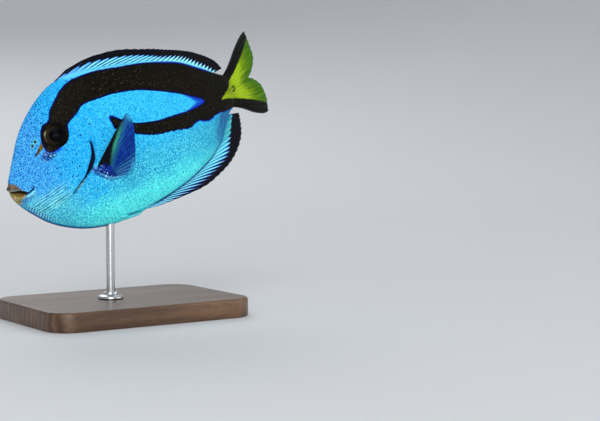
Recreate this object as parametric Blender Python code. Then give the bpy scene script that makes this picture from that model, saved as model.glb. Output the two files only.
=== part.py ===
"""A life-size still model of a regal blue tang that turns as it swims, on a small display stand.

Lengths are in metres. The fish is modelled in its own frame: s runs from the snout along the curved
midline, side runs across it (negative on the fish's left) and h runs up from the line that joins the
snout and the middle of the tail base. Outlines are given in millimetres as (s, h).
"""

import math

import bmesh
import bpy
from mathutils import Matrix, Vector

MM = 0.001
GAP = 0.3 * MM

# Driving sizes of the fish
STANDARD_LENGTH = 130 * MM
SNOUT_HEIGHT = 62 * MM
NOSE_DOWN = math.radians(20.8)
HEAD_YAW = math.radians(-13.3)
TAIL_BASE_YAW = math.radians(23.7)
BEND_STARTS = 0.28 * STANDARD_LENGTH
BODY_END = 131 * MM
MOUTH_LEVEL = -2.2 * MM

# How round the body's cross-section is: 0.5 is an ellipse, more is a sharper lens
LENS = 0.58

# Mesh fineness
RING_POINTS = 34
SNOUT_RINGS = 8
RING_STEP = 3.4 * MM


def outline(*points):
    """A list of points given in millimetres, in metres."""
    return [tuple(value * MM for value in point) for point in points]


BACK = outline(
    (0, -2.2), (0.7, 2.0), (2.7, 5.6), (6.7, 12.3), (11.5, 19.8), (15.7, 24.8), (20.6, 29.4), (27.2, 34.2),
    (34.2, 37.6), (41, 39), (48, 39), (55, 38), (66.7, 35.4), (79.9, 32), (89.9, 28.9), (101.2, 24.4),
    (112.6, 17.8), (122, 11.6), (128, 8.6), (134, 8),
)
BELLY = outline(
    (0, -2.2), (0.4, -5.6), (2.7, -10.7), (6.5, -15.9), (12.3, -22.4), (18.8, -27.1), (25.9, -30.7),
    (33.4, -33), (41.5, -34.2), (50.4, -34), (60, -33), (70.6, -31.8), (80, -30.4), (87, -29),
    (96.1, -26.6), (102, -24.7), (107.8, -21.8), (113, -17.9), (118.5, -12.9), (122.5, -10.4), (127.1, -8.8),
    (134, -8.2),
)
HALF_WIDTH = outline(
    (0, 0), (0.7, 2.2), (2.7, 3.7), (6.7, 5.4), (11.5, 6.9), (20, 8.9), (30, 10.3), (40, 11), (50, 11.2),
    (60, 10.9), (70, 10.2), (80, 9.2), (90, 7.9), (100, 6.5), (110, 5), (120, 3.6), (127, 2.8), (134, 2.2),
)
WIDEST_LEVEL = outline((0, -2.2), (10, -2), (25, 1), (45, 2), (70, 2.5), (100, 1.5), (134, 0))

# Head
EYE = (27.0 * MM, 16.6 * MM)
EYE_RADII = (6.2 * MM, 6.2 * MM, 2.7 * MM)
EYE_SUNK = 1.3 * MM
ORBIT_BULGE = 0.9 * MM
ORBIT_SPREAD = 7.5 * MM
GILL_MARGIN = outline(
    (38.2, 14.5), (39.8, 9.7), (39.8, 6), (38.5, 1.7), (35.6, -3), (31.8, -6.8), (28.2, -9.4), (24, -12.6)
)
CHEEK_LINE = outline(
    (35.2, 14), (34.2, 9.8), (32.4, 5.7), (30.4, 1.3), (28.2, -3), (25.8, -6.4), (23.2, -9.2), (20.6, -11.4)
)
GILL_COVER_DEPTH = 2.0 * MM
GILL_COVER_PROUD = 0.6 * MM
NOSTRILS = outline((17.8, 16.5), (16.0, 15.1))
NOSTRIL_RADIUS = 0.45 * MM
NOSTRIL_DEPTH = 1.2 * MM
MOUTH_CORNER = (7.6 * MM, -4.65 * MM)
UPPER_LIP_FRONT = (0.6 * MM, 0.1 * MM)
LOWER_LIP_FRONT = (1.6 * MM, -4.5 * MM)
LIP_RADIUS = 1.6 * MM
LIP_CORNER_RADIUS = 0.9 * MM

# Parting lines, each (s, h, half the gap)
MOUTH_LINE = outline(
    (-3, -1.3, 0.5), (2, -2.9, 0.4), (5, -4, 0.25), (9.4, -5, 0.15), (9.8, -8, 0.15), (8.6, -13, 0.15),
    (5, -24, 0.15),
)
TAIL_STEM_LINE = outline((114, 40, 0.15), (117, 8, 0.15), (117, -6, 0.15), (113, -40, 0.15))

# Fins, in millimetres: how far through its row a ray stands, with its foot or its tip
DORSAL_SPINES = 9
DORSAL_RAYS = 20
DORSAL_FEET = [
    (0, 37.5), (0.14, 50), (0.29, 64), (0.43, 81), (0.57, 95.5), (0.71, 105.5), (0.86, 113.8), (1, 121.5),
]
DORSAL_TIPS = [
    (0, 43.5, 41.4), (0.07, 54, 42.9), (0.14, 64, 42.4), (0.29, 84, 37.0), (0.43, 96, 32.6),
    (0.57, 103.6, 29.5), (0.71, 111.9, 25.7), (0.86, 119.9, 21.2), (0.95, 124.5, 17.1), (1, 128.3, 11.9),
]
ANAL_SPINES = 3
ANAL_RAYS = 19
ANAL_FEET = [(0, 57.5), (0.17, 67), (0.5, 91), (0.74, 106.5), (1, 122.5)]
ANAL_TIPS = [
    (0, 64, -34.8), (0.17, 79.5, -35.7), (0.27, 92, -36.2), (0.38, 103, -34.8), (0.5, 113, -32.4),
    (0.64, 121.5, -27.7), (0.74, 126.8, -23.2), (0.86, 130.4, -17.8), (1, 131.5, -12.6),
]
CAUDAL_ROOT = 126 * MM
CAUDAL_ROOT_HEIGHT = 7.4 * MM
CAUDAL_RAYS = 16
CAUDAL_MIDDLE_TIP = 151.5 * MM
CAUDAL_LOBE_TIP = 166 * MM
CAUDAL_CORNER_CUT = 3 * MM
CAUDAL_TIP_HEIGHT = 21.6 * MM

# How sharply the tail's middle is notched, as a share of a lobe's height
CAUDAL_NOTCH = 0.22

# How far the tail's outer edges have spread, by how far out along them
CAUDAL_SPREAD = [(0, 0), (0.14, 0.13), (0.28, 0.31), (0.4, 0.49), (0.51, 0.65), (0.68, 0.84), (0.83, 0.96), (1, 1)]

# The pectoral fin's ray tips also say how far out from the midline they stand
PECTORAL_ROOT = outline((39.3, -4.6), (44.8, -10.4))
PECTORAL_RAYS = 14
PECTORAL_TIPS = [
    (0, 54.6, 17.7, 26.5), (0.25, 56.1, 10.0, 25.0), (0.45, 55.3, 4.2, 23.5), (0.65, 54.0, -1.2, 22.0),
    (0.85, 51.8, -6.5, 20.0), (1, 49.3, -9.8, 18.0),
]
PELVIC_ROOT = outline((43.5, -31.3), (45.0, -33.6))
PELVIC_RAYS = 5
PELVIC_TIPS = [(0, 55.5, -31.9), (0.5, 58.8, -33.0), (1, 56.0, -34.6)]
PELVIC_STANDS_OFF = 1.3 * MM
ROOT_DEPTH = 2.2 * MM

# Half thicknesses of the fins
MEMBRANE_ROOT = 0.45 * MM
MEMBRANE_EDGE = 0.26 * MM
SPINE_CREST = 0.75 * MM
RAY_CREST = 0.6 * MM
CREST_TIP = 0.34 * MM
RAY_SHARE = 0.17

# Tail spines
TAIL_SPINE_ROOT = (129.5 * MM, 0.5 * MM)
TAIL_SPINE_TIP = (122.3 * MM, 0.2 * MM)
TAIL_SPINE_RADIUS = 0.95 * MM

# Stand
ROD_AT = 38.5 * MM
ROD_RADIUS = 2.0 * MM
ROD_SIDES = 16
ROD_IN_BODY = 10 * MM
ROD_IN_BASE = 5 * MM
BASE_SIZE = (104 * MM, 72 * MM, 9 * MM)
BASE_CENTRE_FROM_SNOUT = 54 * MM
BASE_CORNER_RADIUS = 12 * MM
BASE_EDGE_BEVEL = 1.4 * MM
COLLAR_RADIUS = 6 * MM
COLLAR_HEIGHT = 3 * MM

COLOURS = {
    "skin_blue": ((0.030, 0.360, 0.830), 0.35, 0.0),
    "fin_blue": ((0.020, 0.170, 0.800), 0.40, 0.0),
    "tail_yellow": ((0.560, 0.620, 0.020), 0.40, 0.0),
    "eye_dark": ((0.012, 0.010, 0.008), 0.08, 0.0),
    "spine_pale": ((0.450, 0.400, 0.120), 0.35, 0.0),
    "walnut": ((0.090, 0.042, 0.020), 0.38, 0.0),
    "steel": ((0.600, 0.600, 0.610), 0.28, 1.0),
}


def material(name):
    """The Principled material of one finish."""
    found = bpy.data.materials.get(name)
    if found:
        return found
    colour, roughness, metallic = COLOURS[name]
    made = bpy.data.materials.new(name)
    made.use_nodes = True
    shader = made.node_tree.nodes["Principled BSDF"]
    shader.inputs["Base Color"].default_value = (*colour, 1.0)
    shader.inputs["Roughness"].default_value = roughness
    shader.inputs["Metallic"].default_value = metallic
    return made


def cubic(keys, values, x):
    """The value at x of a smooth curve through the keys and values."""
    steps = [b - a for a, b in zip(keys, keys[1:])]
    slopes = [(b - a) / step for a, b, step in zip(values, values[1:], steps)]
    inner = [
        (steps[i + 1] * slopes[i] + steps[i] * slopes[i + 1]) / (steps[i] + steps[i + 1])
        for i in range(len(steps) - 1)
    ]
    tangents = [2 * slopes[0] - inner[0], *inner, 2 * slopes[-1] - inner[-1]]
    i = max(0, min(len(steps) - 1, sum(key <= x for key in keys) - 1))
    t = (x - keys[i]) / steps[i]
    return (
        values[i] * (1 + 2 * t) * (1 - t) ** 2
        + steps[i] * tangents[i] * t * (1 - t) ** 2
        + values[i + 1] * t * t * (3 - 2 * t)
        + steps[i] * tangents[i + 1] * t * t * (t - 1)
    )


def profile(points, s):
    """The height of an outline at s, rounded at the snout by running over the square root of s."""
    return cubic([math.sqrt(p[0]) for p in points], [p[1] for p in points], math.sqrt(max(s, 0)))


def tip_at(tips, share):
    """The tip of the ray at a share of a fin's base, in metres."""
    keys = [row[0] for row in tips]
    return [cubic(keys, [row[k] * MM for row in tips], share) for k in range(1, len(tips[0]))]


def yaw(s):
    """The midline's heading at s."""
    turned = max(0, s - BEND_STARTS) / (STANDARD_LENGTH - BEND_STARTS)
    return HEAD_YAW + (TAIL_BASE_YAW - HEAD_YAW) * turned


def bent(s, side, h):
    """A point of the straight fish, carried onto the curved midline."""
    curvature = (TAIL_BASE_YAW - HEAD_YAW) / (STANDARD_LENGTH - BEND_STARTS)
    straight = min(s, BEND_STARTS)
    heading = yaw(s)
    x = straight * math.cos(HEAD_YAW) + (math.sin(heading) - math.sin(HEAD_YAW)) / curvature
    y = straight * math.sin(HEAD_YAW) - (math.cos(heading) - math.cos(HEAD_YAW)) / curvature
    return Vector((x - side * math.sin(heading), y + side * math.cos(heading), h))


def gill_cover_relief(s, h):
    """How far the gill cover rises just ahead of its free margin."""
    if not GILL_MARGIN[-1][1] < h < GILL_MARGIN[0][1]:
        return 0.0
    for (s0, h0), (s1, h1) in zip(GILL_MARGIN, GILL_MARGIN[1:]):
        if h1 <= h <= h0:
            ahead = s0 + (s1 - s0) * (h0 - h) / (h0 - h1) - s
            break
    if ahead < 0:
        return 0.0
    along = (h - GILL_MARGIN[-1][1]) / (GILL_MARGIN[0][1] - GILL_MARGIN[-1][1])
    return 0.5 * MM * math.exp(-ahead / (7 * MM)) * math.sin(math.pi * along) ** 0.5


def relief(s, h):
    """The head's swellings over the plain body: round the eye and along the gill cover."""
    from_eye = math.hypot(s - EYE[0], h - EYE[1])
    return ORBIT_BULGE * math.exp(-((from_eye / ORBIT_SPREAD) ** 2)) + gill_cover_relief(s, h)


def half_width(s, h):
    """How far the body's side lies from the midline at (s, h)."""
    top, bottom, width, middle = (profile(p, s) for p in (BACK, BELLY, HALF_WIDTH, WIDEST_LEVEL))
    share = (h - middle) / (top - middle) if h > middle else (middle - h) / (middle - bottom)
    lens = max(0, 1 - share * share) ** LENS
    return width * lens + relief(s, h) * min(1, 2 * lens)


def skin_point(s, h, hand, proud=0.0):
    """A point on the body's side, proud of it by the given amount. hand is -1 on the left, 1 on the right."""
    return bent(s, hand * (half_width(s, h) + proud), h)


def skin_frame(s, h, hand, proud=0.0):
    """A matrix at that point whose Z axis leaves the body squarely and whose X axis runs tailwards."""
    step = 0.5 * MM
    along = skin_point(s + step, h, hand) - skin_point(s - step, h, hand)
    upward = skin_point(s, h + step, hand) - skin_point(s, h - step, hand)
    outward = along.cross(upward).normalized()
    if outward.y * hand < 0:
        outward = -outward
    along.normalize()
    across = outward.cross(along).normalized()
    frame = Matrix((along, across, outward)).transposed().to_4x4()
    frame.translation = skin_point(s, h, hand) + outward * proud
    return frame


def solid(name, mesh_data, finish, smooth=True):
    """A linked object from a bmesh, with one material."""
    bmesh.ops.recalc_face_normals(mesh_data, faces=mesh_data.faces)
    if mesh_data.calc_volume(signed=True) < 0:
        bmesh.ops.reverse_faces(mesh_data, faces=mesh_data.faces)
    mesh = bpy.data.meshes.new(name)
    mesh_data.to_mesh(mesh)
    mesh_data.free()
    mesh.materials.append(material(finish))
    if smooth:
        mesh.shade_smooth()
        mesh.set_sharp_from_angle(angle=math.radians(40))
    made = bpy.data.objects.new(name, mesh)
    bpy.context.scene.collection.objects.link(made)
    return made


def lofted(name, rings, finish, smooth=True):
    """A closed solid through rings of equal length, with flat ends."""
    made = bmesh.new()
    loops = [[made.verts.new(point) for point in ring] for ring in rings]
    for one, two in zip(loops, loops[1:]):
        for i in range(len(one)):
            j = (i + 1) % len(one)
            made.faces.new((one[i], one[j], two[j], two[i]))
    made.faces.new(loops[0])
    made.faces.new(loops[-1])
    bmesh.ops.triangulate(made, faces=made.faces)
    return solid(name, made, finish, smooth)


def tube(name, points, radii, sides, finish):
    """A round bar along points, each with its radius."""
    rings = []
    across = None
    for i, (point, radius) in enumerate(zip(points, radii)):
        along = (points[min(i + 1, len(points) - 1)] - points[max(i - 1, 0)]).normalized()
        if across is None:
            across = along.orthogonal()
        across = (across - along * across.dot(along)).normalized()
        other = along.cross(across)
        turns = [2 * math.pi * k / sides for k in range(sides)]
        rings.append([point + radius * (math.cos(a) * across + math.sin(a) * other) for a in turns])
    return lofted(name, rings, finish)


def combine(target, tool, operation):
    """Joins a tool to the target, or cuts it away, for good. The tool is an object or a collection."""
    modifier = target.modifiers.new(operation, "BOOLEAN")
    modifier.operation = operation
    modifier.solver = "EXACT"
    if isinstance(tool, bpy.types.Collection):
        modifier.operand_type = "COLLECTION"
        modifier.collection = tool
        tools = list(tool.objects)
    else:
        modifier.object = tool
        tools = [tool]
    settled = target.evaluated_get(bpy.context.evaluated_depsgraph_get())
    mesh = bpy.data.meshes.new_from_object(settled)
    target.modifiers.clear()
    target.data = mesh
    for used in tools:
        bpy.data.objects.remove(used)
    if isinstance(tool, bpy.types.Collection):
        bpy.data.collections.remove(tool)
    return target


def gathered(name, members):
    """A collection that holds these objects."""
    group = bpy.data.collections.new(name)
    bpy.context.scene.collection.children.link(group)
    for member in members:
        bpy.context.scene.collection.objects.unlink(member)
        group.objects.link(member)
    return group


def closed_surfaces(mesh_data):
    """The separate closed surfaces of a bmesh, as lists of faces."""
    left = set(mesh_data.faces)
    found = []
    while left:
        reached = [left.pop()]
        for face in reached:
            for edge in face.edges:
                for other in edge.link_faces:
                    if other in left:
                        left.remove(other)
                        reached.append(other)
        found.append(reached)
    return found


def split(source, names_by_place, finish):
    """Divides an object into its separate closed surfaces, each named after the place it holds."""
    made = bmesh.new()
    made.from_mesh(source.data)
    bmesh.ops.triangulate(made, faces=made.faces)
    pieces = sorted(closed_surfaces(made), key=lambda faces: -sum(face.calc_area() for face in faces))
    results = {}
    for faces in pieces[: len(names_by_place)]:
        corners = {vert for face in faces for vert in face.verts}
        centre = sum((vert.co for vert in corners), Vector()) / len(corners)
        name = min(names_by_place, key=lambda n: (names_by_place[n] - centre).length)
        piece = bmesh.new()
        copies = {vert: piece.verts.new(vert.co) for vert in corners}
        for face in faces:
            piece.faces.new([copies[vert] for vert in face.verts])
        results[name] = solid(name, piece, finish)
    made.free()
    bpy.data.objects.remove(source)
    return results


def keep_largest(target):
    """Leaves a node only its largest closed surface, in triangles."""
    made = bmesh.new()
    made.from_mesh(target.data)
    bmesh.ops.triangulate(made, faces=made.faces)
    pieces = sorted(closed_surfaces(made), key=lambda faces: sum(face.calc_area() for face in faces))
    for faces in pieces[:-1]:
        bmesh.ops.delete(made, geom=faces, context="FACES")
    loose = [vert for vert in made.verts if not vert.link_faces]
    bmesh.ops.delete(made, geom=loose, context="VERTS")
    made.to_mesh(target.data)
    made.free()
    return target


def ring_places():
    """The s of each ring of the body: close together at the snout, then evenly spaced."""
    places = [0.18 * MM * i * i for i in range(1, SNOUT_RINGS + 1)]
    count = round((BODY_END - places[-1]) / RING_STEP)
    step = (BODY_END - places[-1]) / count
    return places + [places[-1] + step * i for i in range(1, count + 1)]


def body(name, grow=0.0):
    """The whole body without its fins, grown all round by the given amount."""
    rings = []
    for s in ring_places():
        rings.append(body_ring(s, 1.0, grow))
    for reach, share in ((0.5, 0.8), (0.9, 0.45)):
        rings.append(body_ring(BODY_END + reach * MM + grow * reach, share, grow))
    return lofted(name, rings, "skin_blue")


def body_ring(s, share, grow):
    """One cross-section of the body. share shrinks it towards its middle."""
    top = profile(BACK, s) + grow
    bottom = profile(BELLY, s) - grow
    width = profile(HALF_WIDTH, s) + grow
    middle = profile(WIDEST_LEVEL, s)
    ring = []
    for k in range(RING_POINTS):
        turn = 2 * math.pi * k / RING_POINTS
        v = math.cos(turn)
        h = middle + ((top - middle) if v > 0 else (middle - bottom)) * v * share
        lens = abs(math.sin(turn)) ** (2 * LENS)
        hand = -1 if turn < math.pi else 1
        side = (width * lens + relief(s, h) * min(1, 2 * lens)) * share
        ring.append(bent(s - grow * (s < SNOUT_RINGS * MM), hand * side, h))
    return ring


def curtain(name, line):
    """A thin sheet along a parting line, right through the fish, which cuts the gap between two nodes."""
    reach = 30 * MM
    rims = [[], []]
    for i, (s, h, half_gap) in enumerate(line):
        before = line[max(i - 1, 0)]
        after = line[min(i + 1, len(line) - 1)]
        along = Vector((after[0] - before[0], after[1] - before[1])).normalized()
        for rim, hand in zip(rims, (-1, 1)):
            rim.append((s - along.y * hand * half_gap, h + along.x * hand * half_gap))
    edge = rims[0] + rims[1][::-1]
    rings = [[bent(s, side, h) for s, h in edge] for side in (-reach, reach)]
    return lofted(name, rings, "skin_blue", smooth=False)


def gill_patch(name, hand, grow, low, high):
    """A plate between the cheek line and the gill margin, from low to high against the body's side."""
    columns = 5
    rows = 14
    overcut = max(0, 0.8 * grow)
    faces = []
    for level in (low, high):
        grid = []
        for j in range(rows + 1):
            down = j / rows
            line = []
            for i in range(columns + 1):
                back = i / columns
                spot = point_along(CHEEK_LINE, down).lerp(point_along(GILL_MARGIN, down), back)
                downward = heading_along(CHEEK_LINE, down).lerp(heading_along(GILL_MARGIN, down), back)
                downward.normalize()
                forward = Vector((downward.y, -downward.x))
                spot += grow * ((1 - back) * forward + (2 * down - 1) * downward) - overcut * back * forward
                rise = GILL_COVER_PROUD * back if high == 0 and level == 0 else 0.0
                line.append(skin_point(spot.x, spot.y, hand, level + rise))
            grid.append(line)
        faces.append(grid)
    made = bmesh.new()
    low_grid, high_grid = [[[made.verts.new(p) for p in line] for line in grid] for grid in faces]
    for grid in (low_grid, high_grid):
        for one, two in zip(grid, grid[1:]):
            for i in range(columns):
                made.faces.new((one[i], one[i + 1], two[i + 1]))
                made.faces.new((one[i], two[i + 1], two[i]))
    low_rim = rim_of(low_grid)
    high_rim = rim_of(high_grid)
    for i in range(len(low_rim)):
        j = (i + 1) % len(low_rim)
        made.faces.new((low_rim[i], low_rim[j], high_rim[j]))
        made.faces.new((low_rim[i], high_rim[j], high_rim[i]))
    return solid(name, made, "skin_blue")


def rim_of(grid):
    """The vertices round the edge of a grid, in order."""
    right = [line[-1] for line in grid[1:]]
    left = [line[0] for line in grid[1:-1]]
    return grid[0] + right + grid[-1][-2::-1] + left[::-1]


def point_along(line, share):
    """The point at a share of an evenly counted outline."""
    keys = list(range(len(line)))
    at = share * (len(line) - 1)
    return Vector([cubic(keys, [point[k] for point in line], at) for k in (0, 1)])


def heading_along(line, share):
    """The outline's direction at that point."""
    step = 0.01
    return (point_along(line, min(1, share + step)) - point_along(line, max(0, share - step))).normalized()


def lip(name, front, corner, corner_shift):
    """A lip that runs from one mouth corner round the front to the other."""
    points = []
    radii = []
    count = 12
    for i in range(count + 1):
        turn = math.pi * i / count
        back = 1 - math.sin(turn)
        s = front[0] + (corner[0] - front[0]) * back
        h = front[1] + (corner[1] + corner_shift - front[1]) * back
        across = half_width(corner[0], corner[1]) - 0.6 * MM
        points.append(bent(s, -across * math.cos(turn), h))
        radii.append(LIP_RADIUS + (LIP_CORNER_RADIUS - LIP_RADIUS) * back)
    return tube(name, points, radii, 8, "skin_blue")


def ellipsoid(name, frame, radii, columns, rows, finish):
    """An ellipsoid in a frame."""
    made = bmesh.new()
    bmesh.ops.create_uvsphere(made, u_segments=columns, v_segments=rows, radius=1.0)
    bmesh.ops.transform(made, matrix=frame @ Matrix.Diagonal((*radii, 1.0)), verts=made.verts)
    bmesh.ops.triangulate(made, faces=made.faces)
    return solid(name, made, finish)


def eye_shape(name, hand, grow):
    """The flattened eyeball of one side, grown for its socket."""
    frame = skin_frame(*EYE, hand, -EYE_SUNK)
    radii = [radius + grow for radius in EYE_RADII]
    return ellipsoid(name, frame, radii, 20, 12, "eye_dark")


def nostril_cutter(name, place, hand):
    """A short bar that leaves a nostril's pit."""
    frame = skin_frame(*place, hand)
    inner = frame @ Vector((0, 0, -NOSTRIL_DEPTH))
    outer = frame @ Vector((0, 0, 2 * MM))
    return tube(name, [inner, outer], [NOSTRIL_RADIUS] * 2, 8, "skin_blue")


def columns_of(rays):
    """The columns of a fin: each ray's foot on one side, its crest and its foot on the other side."""
    found = []
    for ray in range(rays):
        for offset, crest in ((-RAY_SHARE, False), (0, True), (RAY_SHARE, False)):
            found.append(((ray + offset) / (rays - 1), crest, ray))
    return found


def blade(name, place, rays, spines, rows, notch, fleshy, finish):
    """A fin as one closed sheet with a ridge for each ray on both faces.

    place(u, v) is the middle of the sheet at a share u of the base and v of the ray's length, with v
    under 0 inside the body. notch is how far the membrane falls short of the ray tips, and fleshy is
    the half thickness of the muscle at the root.
    """
    columns = columns_of(rays)
    made = bmesh.new()
    grids = ([], [])
    for u, crested, ray in columns:
        lines = ([], [])
        for v in rows:
            reach = v * (1 - notch) if v > 0 and not crested else v
            middle = place(u, reach)
            step = 0.01
            along = place(u, reach + step) - place(u, reach - step)
            across = place(u + step, reach) - place(u - step, reach)
            outward = along.cross(across).normalized()
            v_out = min(1, max(0, v))
            flesh = fleshy * max(0, 1 - v_out / 0.3)
            half = MEMBRANE_ROOT + (MEMBRANE_EDGE - MEMBRANE_ROOT) * v_out
            if crested:
                crest = SPINE_CREST if ray < spines else RAY_CREST
                half = crest + (CREST_TIP - crest) * v_out
            half = max(half, flesh)
            for line, hand in zip(lines, (-1, 1)):
                line.append(made.verts.new(middle + outward * hand * half))
        for grid, line in zip(grids, lines):
            grid.append(line)
    for grid in grids:
        for one, two in zip(grid, grid[1:]):
            for j in range(len(rows) - 1):
                made.faces.new((one[j], one[j + 1], two[j + 1]))
                made.faces.new((one[j], two[j + 1], two[j]))
    rims = [rim_of(grid) for grid in grids]
    for i in range(len(rims[0])):
        j = (i + 1) % len(rims[0])
        made.faces.new((rims[0][i], rims[0][j], rims[1][j]))
        made.faces.new((rims[0][i], rims[1][j], rims[1][i]))
    return solid(name, made, finish)


def fin_rows(length, count):
    """Row positions from inside the body out to the ray tips."""
    return [-ROOT_DEPTH / length] + [i / count for i in range(count + 1)]


def rooted(fin):
    """Cuts a fin back from the body it grows from, and leaves the gap between two nodes."""
    return keep_largest(combine(fin, body("grown_body", GAP), "DIFFERENCE"))


def median_place(feet, edge, tips):
    """Where a fin of the midline lies: the feet of its rays on the outline called edge."""

    def place(u, v):
        (s,) = tip_at(feet, u)
        h = profile(edge, s)
        tip_s, tip_h = tip_at(tips, u)
        return bent(s + (tip_s - s) * v, 0, h + (tip_h - h) * v)

    return place


def dorsal_fin():
    place = median_place(DORSAL_FEET, BACK, DORSAL_TIPS)
    rays = DORSAL_SPINES + DORSAL_RAYS
    fin = blade("dorsal_fin", place, rays, DORSAL_SPINES, fin_rows(8 * MM, 3), 0.07, 0, "fin_blue")
    return rooted(fin)


def anal_fin():
    place = median_place(ANAL_FEET, BELLY, ANAL_TIPS)
    rays = ANAL_SPINES + ANAL_RAYS
    fin = blade("anal_fin", place, rays, ANAL_SPINES, fin_rows(9 * MM, 3), 0.07, 0, "fin_blue")
    return rooted(fin)


def caudal_place(u, v):
    """The tail fin spreads from the end of the tail stem to two lobes."""
    w = 2 * u - 1
    root_h = CAUDAL_ROOT_HEIGHT * w
    lobe = 1 - math.exp(-abs(w) / CAUDAL_NOTCH)
    corner = min(1, max(0, (abs(w) - 0.8) / 0.2)) ** 2
    tip_s = CAUDAL_MIDDLE_TIP + (CAUDAL_LOBE_TIP - CAUDAL_MIDDLE_TIP) * lobe - CAUDAL_CORNER_CUT * corner
    tip_h = CAUDAL_TIP_HEIGHT * w
    reach = min(1, max(0, v))
    edge = cubic([p[0] for p in CAUDAL_SPREAD], [p[1] for p in CAUDAL_SPREAD], reach)
    spread = reach + (edge - reach) * min(1, abs(w))
    return bent(CAUDAL_ROOT + (tip_s - CAUDAL_ROOT) * v, 0, root_h + (tip_h - root_h) * spread)


def caudal_fin():
    rows = [0, 0.15, 0.3, 0.48, 0.66, 0.84, 1]
    fin = blade("caudal_fin", caudal_place, CAUDAL_RAYS, 0, rows, 0.03, 0, "tail_yellow")
    return rooted(fin)


def pectoral_place(hand):
    """The left or right pectoral fin, raised and spread outwards from its root on the side."""

    def place(u, v):
        (s0, h0), (s1, h1) = PECTORAL_ROOT
        s = s0 + (s1 - s0) * u
        h = h0 + (h1 - h0) * u
        out = half_width(s, h)
        tip_s, tip_h, tip_out = tip_at(PECTORAL_TIPS, u)
        flare = v ** 1.25 if v > 0 else v
        return bent(s + (tip_s - s) * v, hand * (out + (tip_out - out) * flare), h + (tip_h - h) * v)

    return place


def pectoral_fin(name, hand):
    rows = [-0.14, 0.02, 0.2, 0.42, 0.7, 1]
    fin = blade(name, pectoral_place(hand), PECTORAL_RAYS, 0, rows, 0.05, 1.1 * MM, "fin_blue")
    return rooted(fin)


def pelvic_place(hand):
    """A pelvic fin folded back along the belly."""

    def place(u, v):
        (s0, h0), (s1, h1) = PELVIC_ROOT
        tip_s, tip_h = tip_at(PELVIC_TIPS, u)
        s = s0 + (s1 - s0) * u
        h = h0 + (h1 - h0) * u
        s += (tip_s - s) * v
        h += (tip_h - h) * v
        lifted = min(1, max(-1, (v - 0.06) / 0.12))
        out = max(half_width(s, h), 0.2 * MM) + PELVIC_STANDS_OFF * lifted
        return bent(s, hand * out, h)

    return place


def pelvic_fin(name, hand):
    rows = [-0.1, 0, 0.12, 0.3, 0.65, 1]
    fin = blade(name, pelvic_place(hand), PELVIC_RAYS, 1, rows, 0.06, 0, "fin_blue")
    return rooted(fin)


def tail_spine(name, hand):
    """The folded blade on the side of the tail stem, with its point forwards."""
    (root_s, root_h), (tip_s, tip_h) = TAIL_SPINE_ROOT, TAIL_SPINE_TIP
    points = []
    radii = []
    for share, proud, thick in ((0, -0.9, 0.9), (0.2, 0.1, 1), (0.5, 0.55, 0.85), (0.8, 0.7, 0.5), (1, 0.75, 0.15)):
        s = root_s + (tip_s - root_s) * share
        h = root_h + (tip_h - root_h) * share
        points.append(skin_point(s, h, hand, proud * MM))
        radii.append(TAIL_SPINE_RADIUS * thick)
    return rooted(tube(name, points, radii, 8, "spine_pale"))


def rod_place():
    """Where the rod's axis meets the belly, once the fish is tipped, measured from the snout."""
    tipped = Matrix.Rotation(-NOSE_DOWN, 3, "Y")
    return tipped @ bent(ROD_AT, 0, profile(BELLY, ROD_AT))


def rod_in_fish_frame(name, radius, depth):
    """An upright bar under the belly, as the tipped fish sees it."""
    foot = rod_place()
    untip = Matrix.Rotation(NOSE_DOWN, 3, "Y")
    ends = [untip @ (foot + Vector((0, 0, z))) for z in (-12 * MM, depth)]
    return tube(name, ends, [radius] * 2, ROD_SIDES, "steel")


def gill_line():
    """The parting line between the head and the torso: down the nape, just behind the gill cover's
    margin and on under the throat."""
    steps = 14
    margin = [point_along(GILL_MARGIN, i / steps) for i in range(steps + 1)]
    half = GAP / 2
    above = outline((34, 50, 0.15), (36.3, 30, 0.15), (37.6, 20, 0.15))
    below = outline((19.5, -19, 0.15), (15, -36, 0.15))
    return above + [(s + half, h - half * (i / steps), half) for i, (s, h) in enumerate(margin)] + below


def flesh():
    """The head, jaw, gill covers, torso and tail stem: one body, parted by thin cuts."""
    whole = body("whole")
    lips = [
        lip("upper_lip", UPPER_LIP_FRONT, MOUTH_CORNER, 0.7 * MM),
        lip("lower_lip", LOWER_LIP_FRONT, MOUTH_CORNER, -0.8 * MM),
    ]
    combine(whole, gathered("lips", lips), "UNION")
    for hand in (-1, 1):
        combine(whole, eye_shape("socket", hand, GAP), "DIFFERENCE")
        for place in NOSTRILS:
            combine(whole, nostril_cutter("nostril", place, hand), "DIFFERENCE")
        pocket = gill_patch("pocket", hand, GAP / 2, -GILL_COVER_DEPTH - GAP, 3 * MM)
        combine(whole, pocket, "DIFFERENCE")
    combine(whole, rod_in_fish_frame("rod_hole", ROD_RADIUS + GAP, ROD_IN_BODY + GAP), "DIFFERENCE")
    for name, line in (("mouth_cut", MOUTH_LINE), ("gill_cut", gill_line()), ("tail_cut", TAIL_STEM_LINE)):
        combine(whole, curtain(name, line), "DIFFERENCE")
    places = {
        "lower_jaw": bent(4 * MM, 0, -8 * MM),
        "head": bent(20 * MM, 0, 8 * MM),
        "torso": bent(65 * MM, 0, 0),
        "tail_stem": bent(124 * MM, 0, 0),
    }
    made = split(whole, places, "skin_blue")
    for side_name, hand in (("left", -1), ("right", 1)):
        name = f"gill_cover_{side_name}"
        made[name] = gill_patch(name, hand, -GAP / 2, -GILL_COVER_DEPTH, 0.0)
    return list(made.values())


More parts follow.
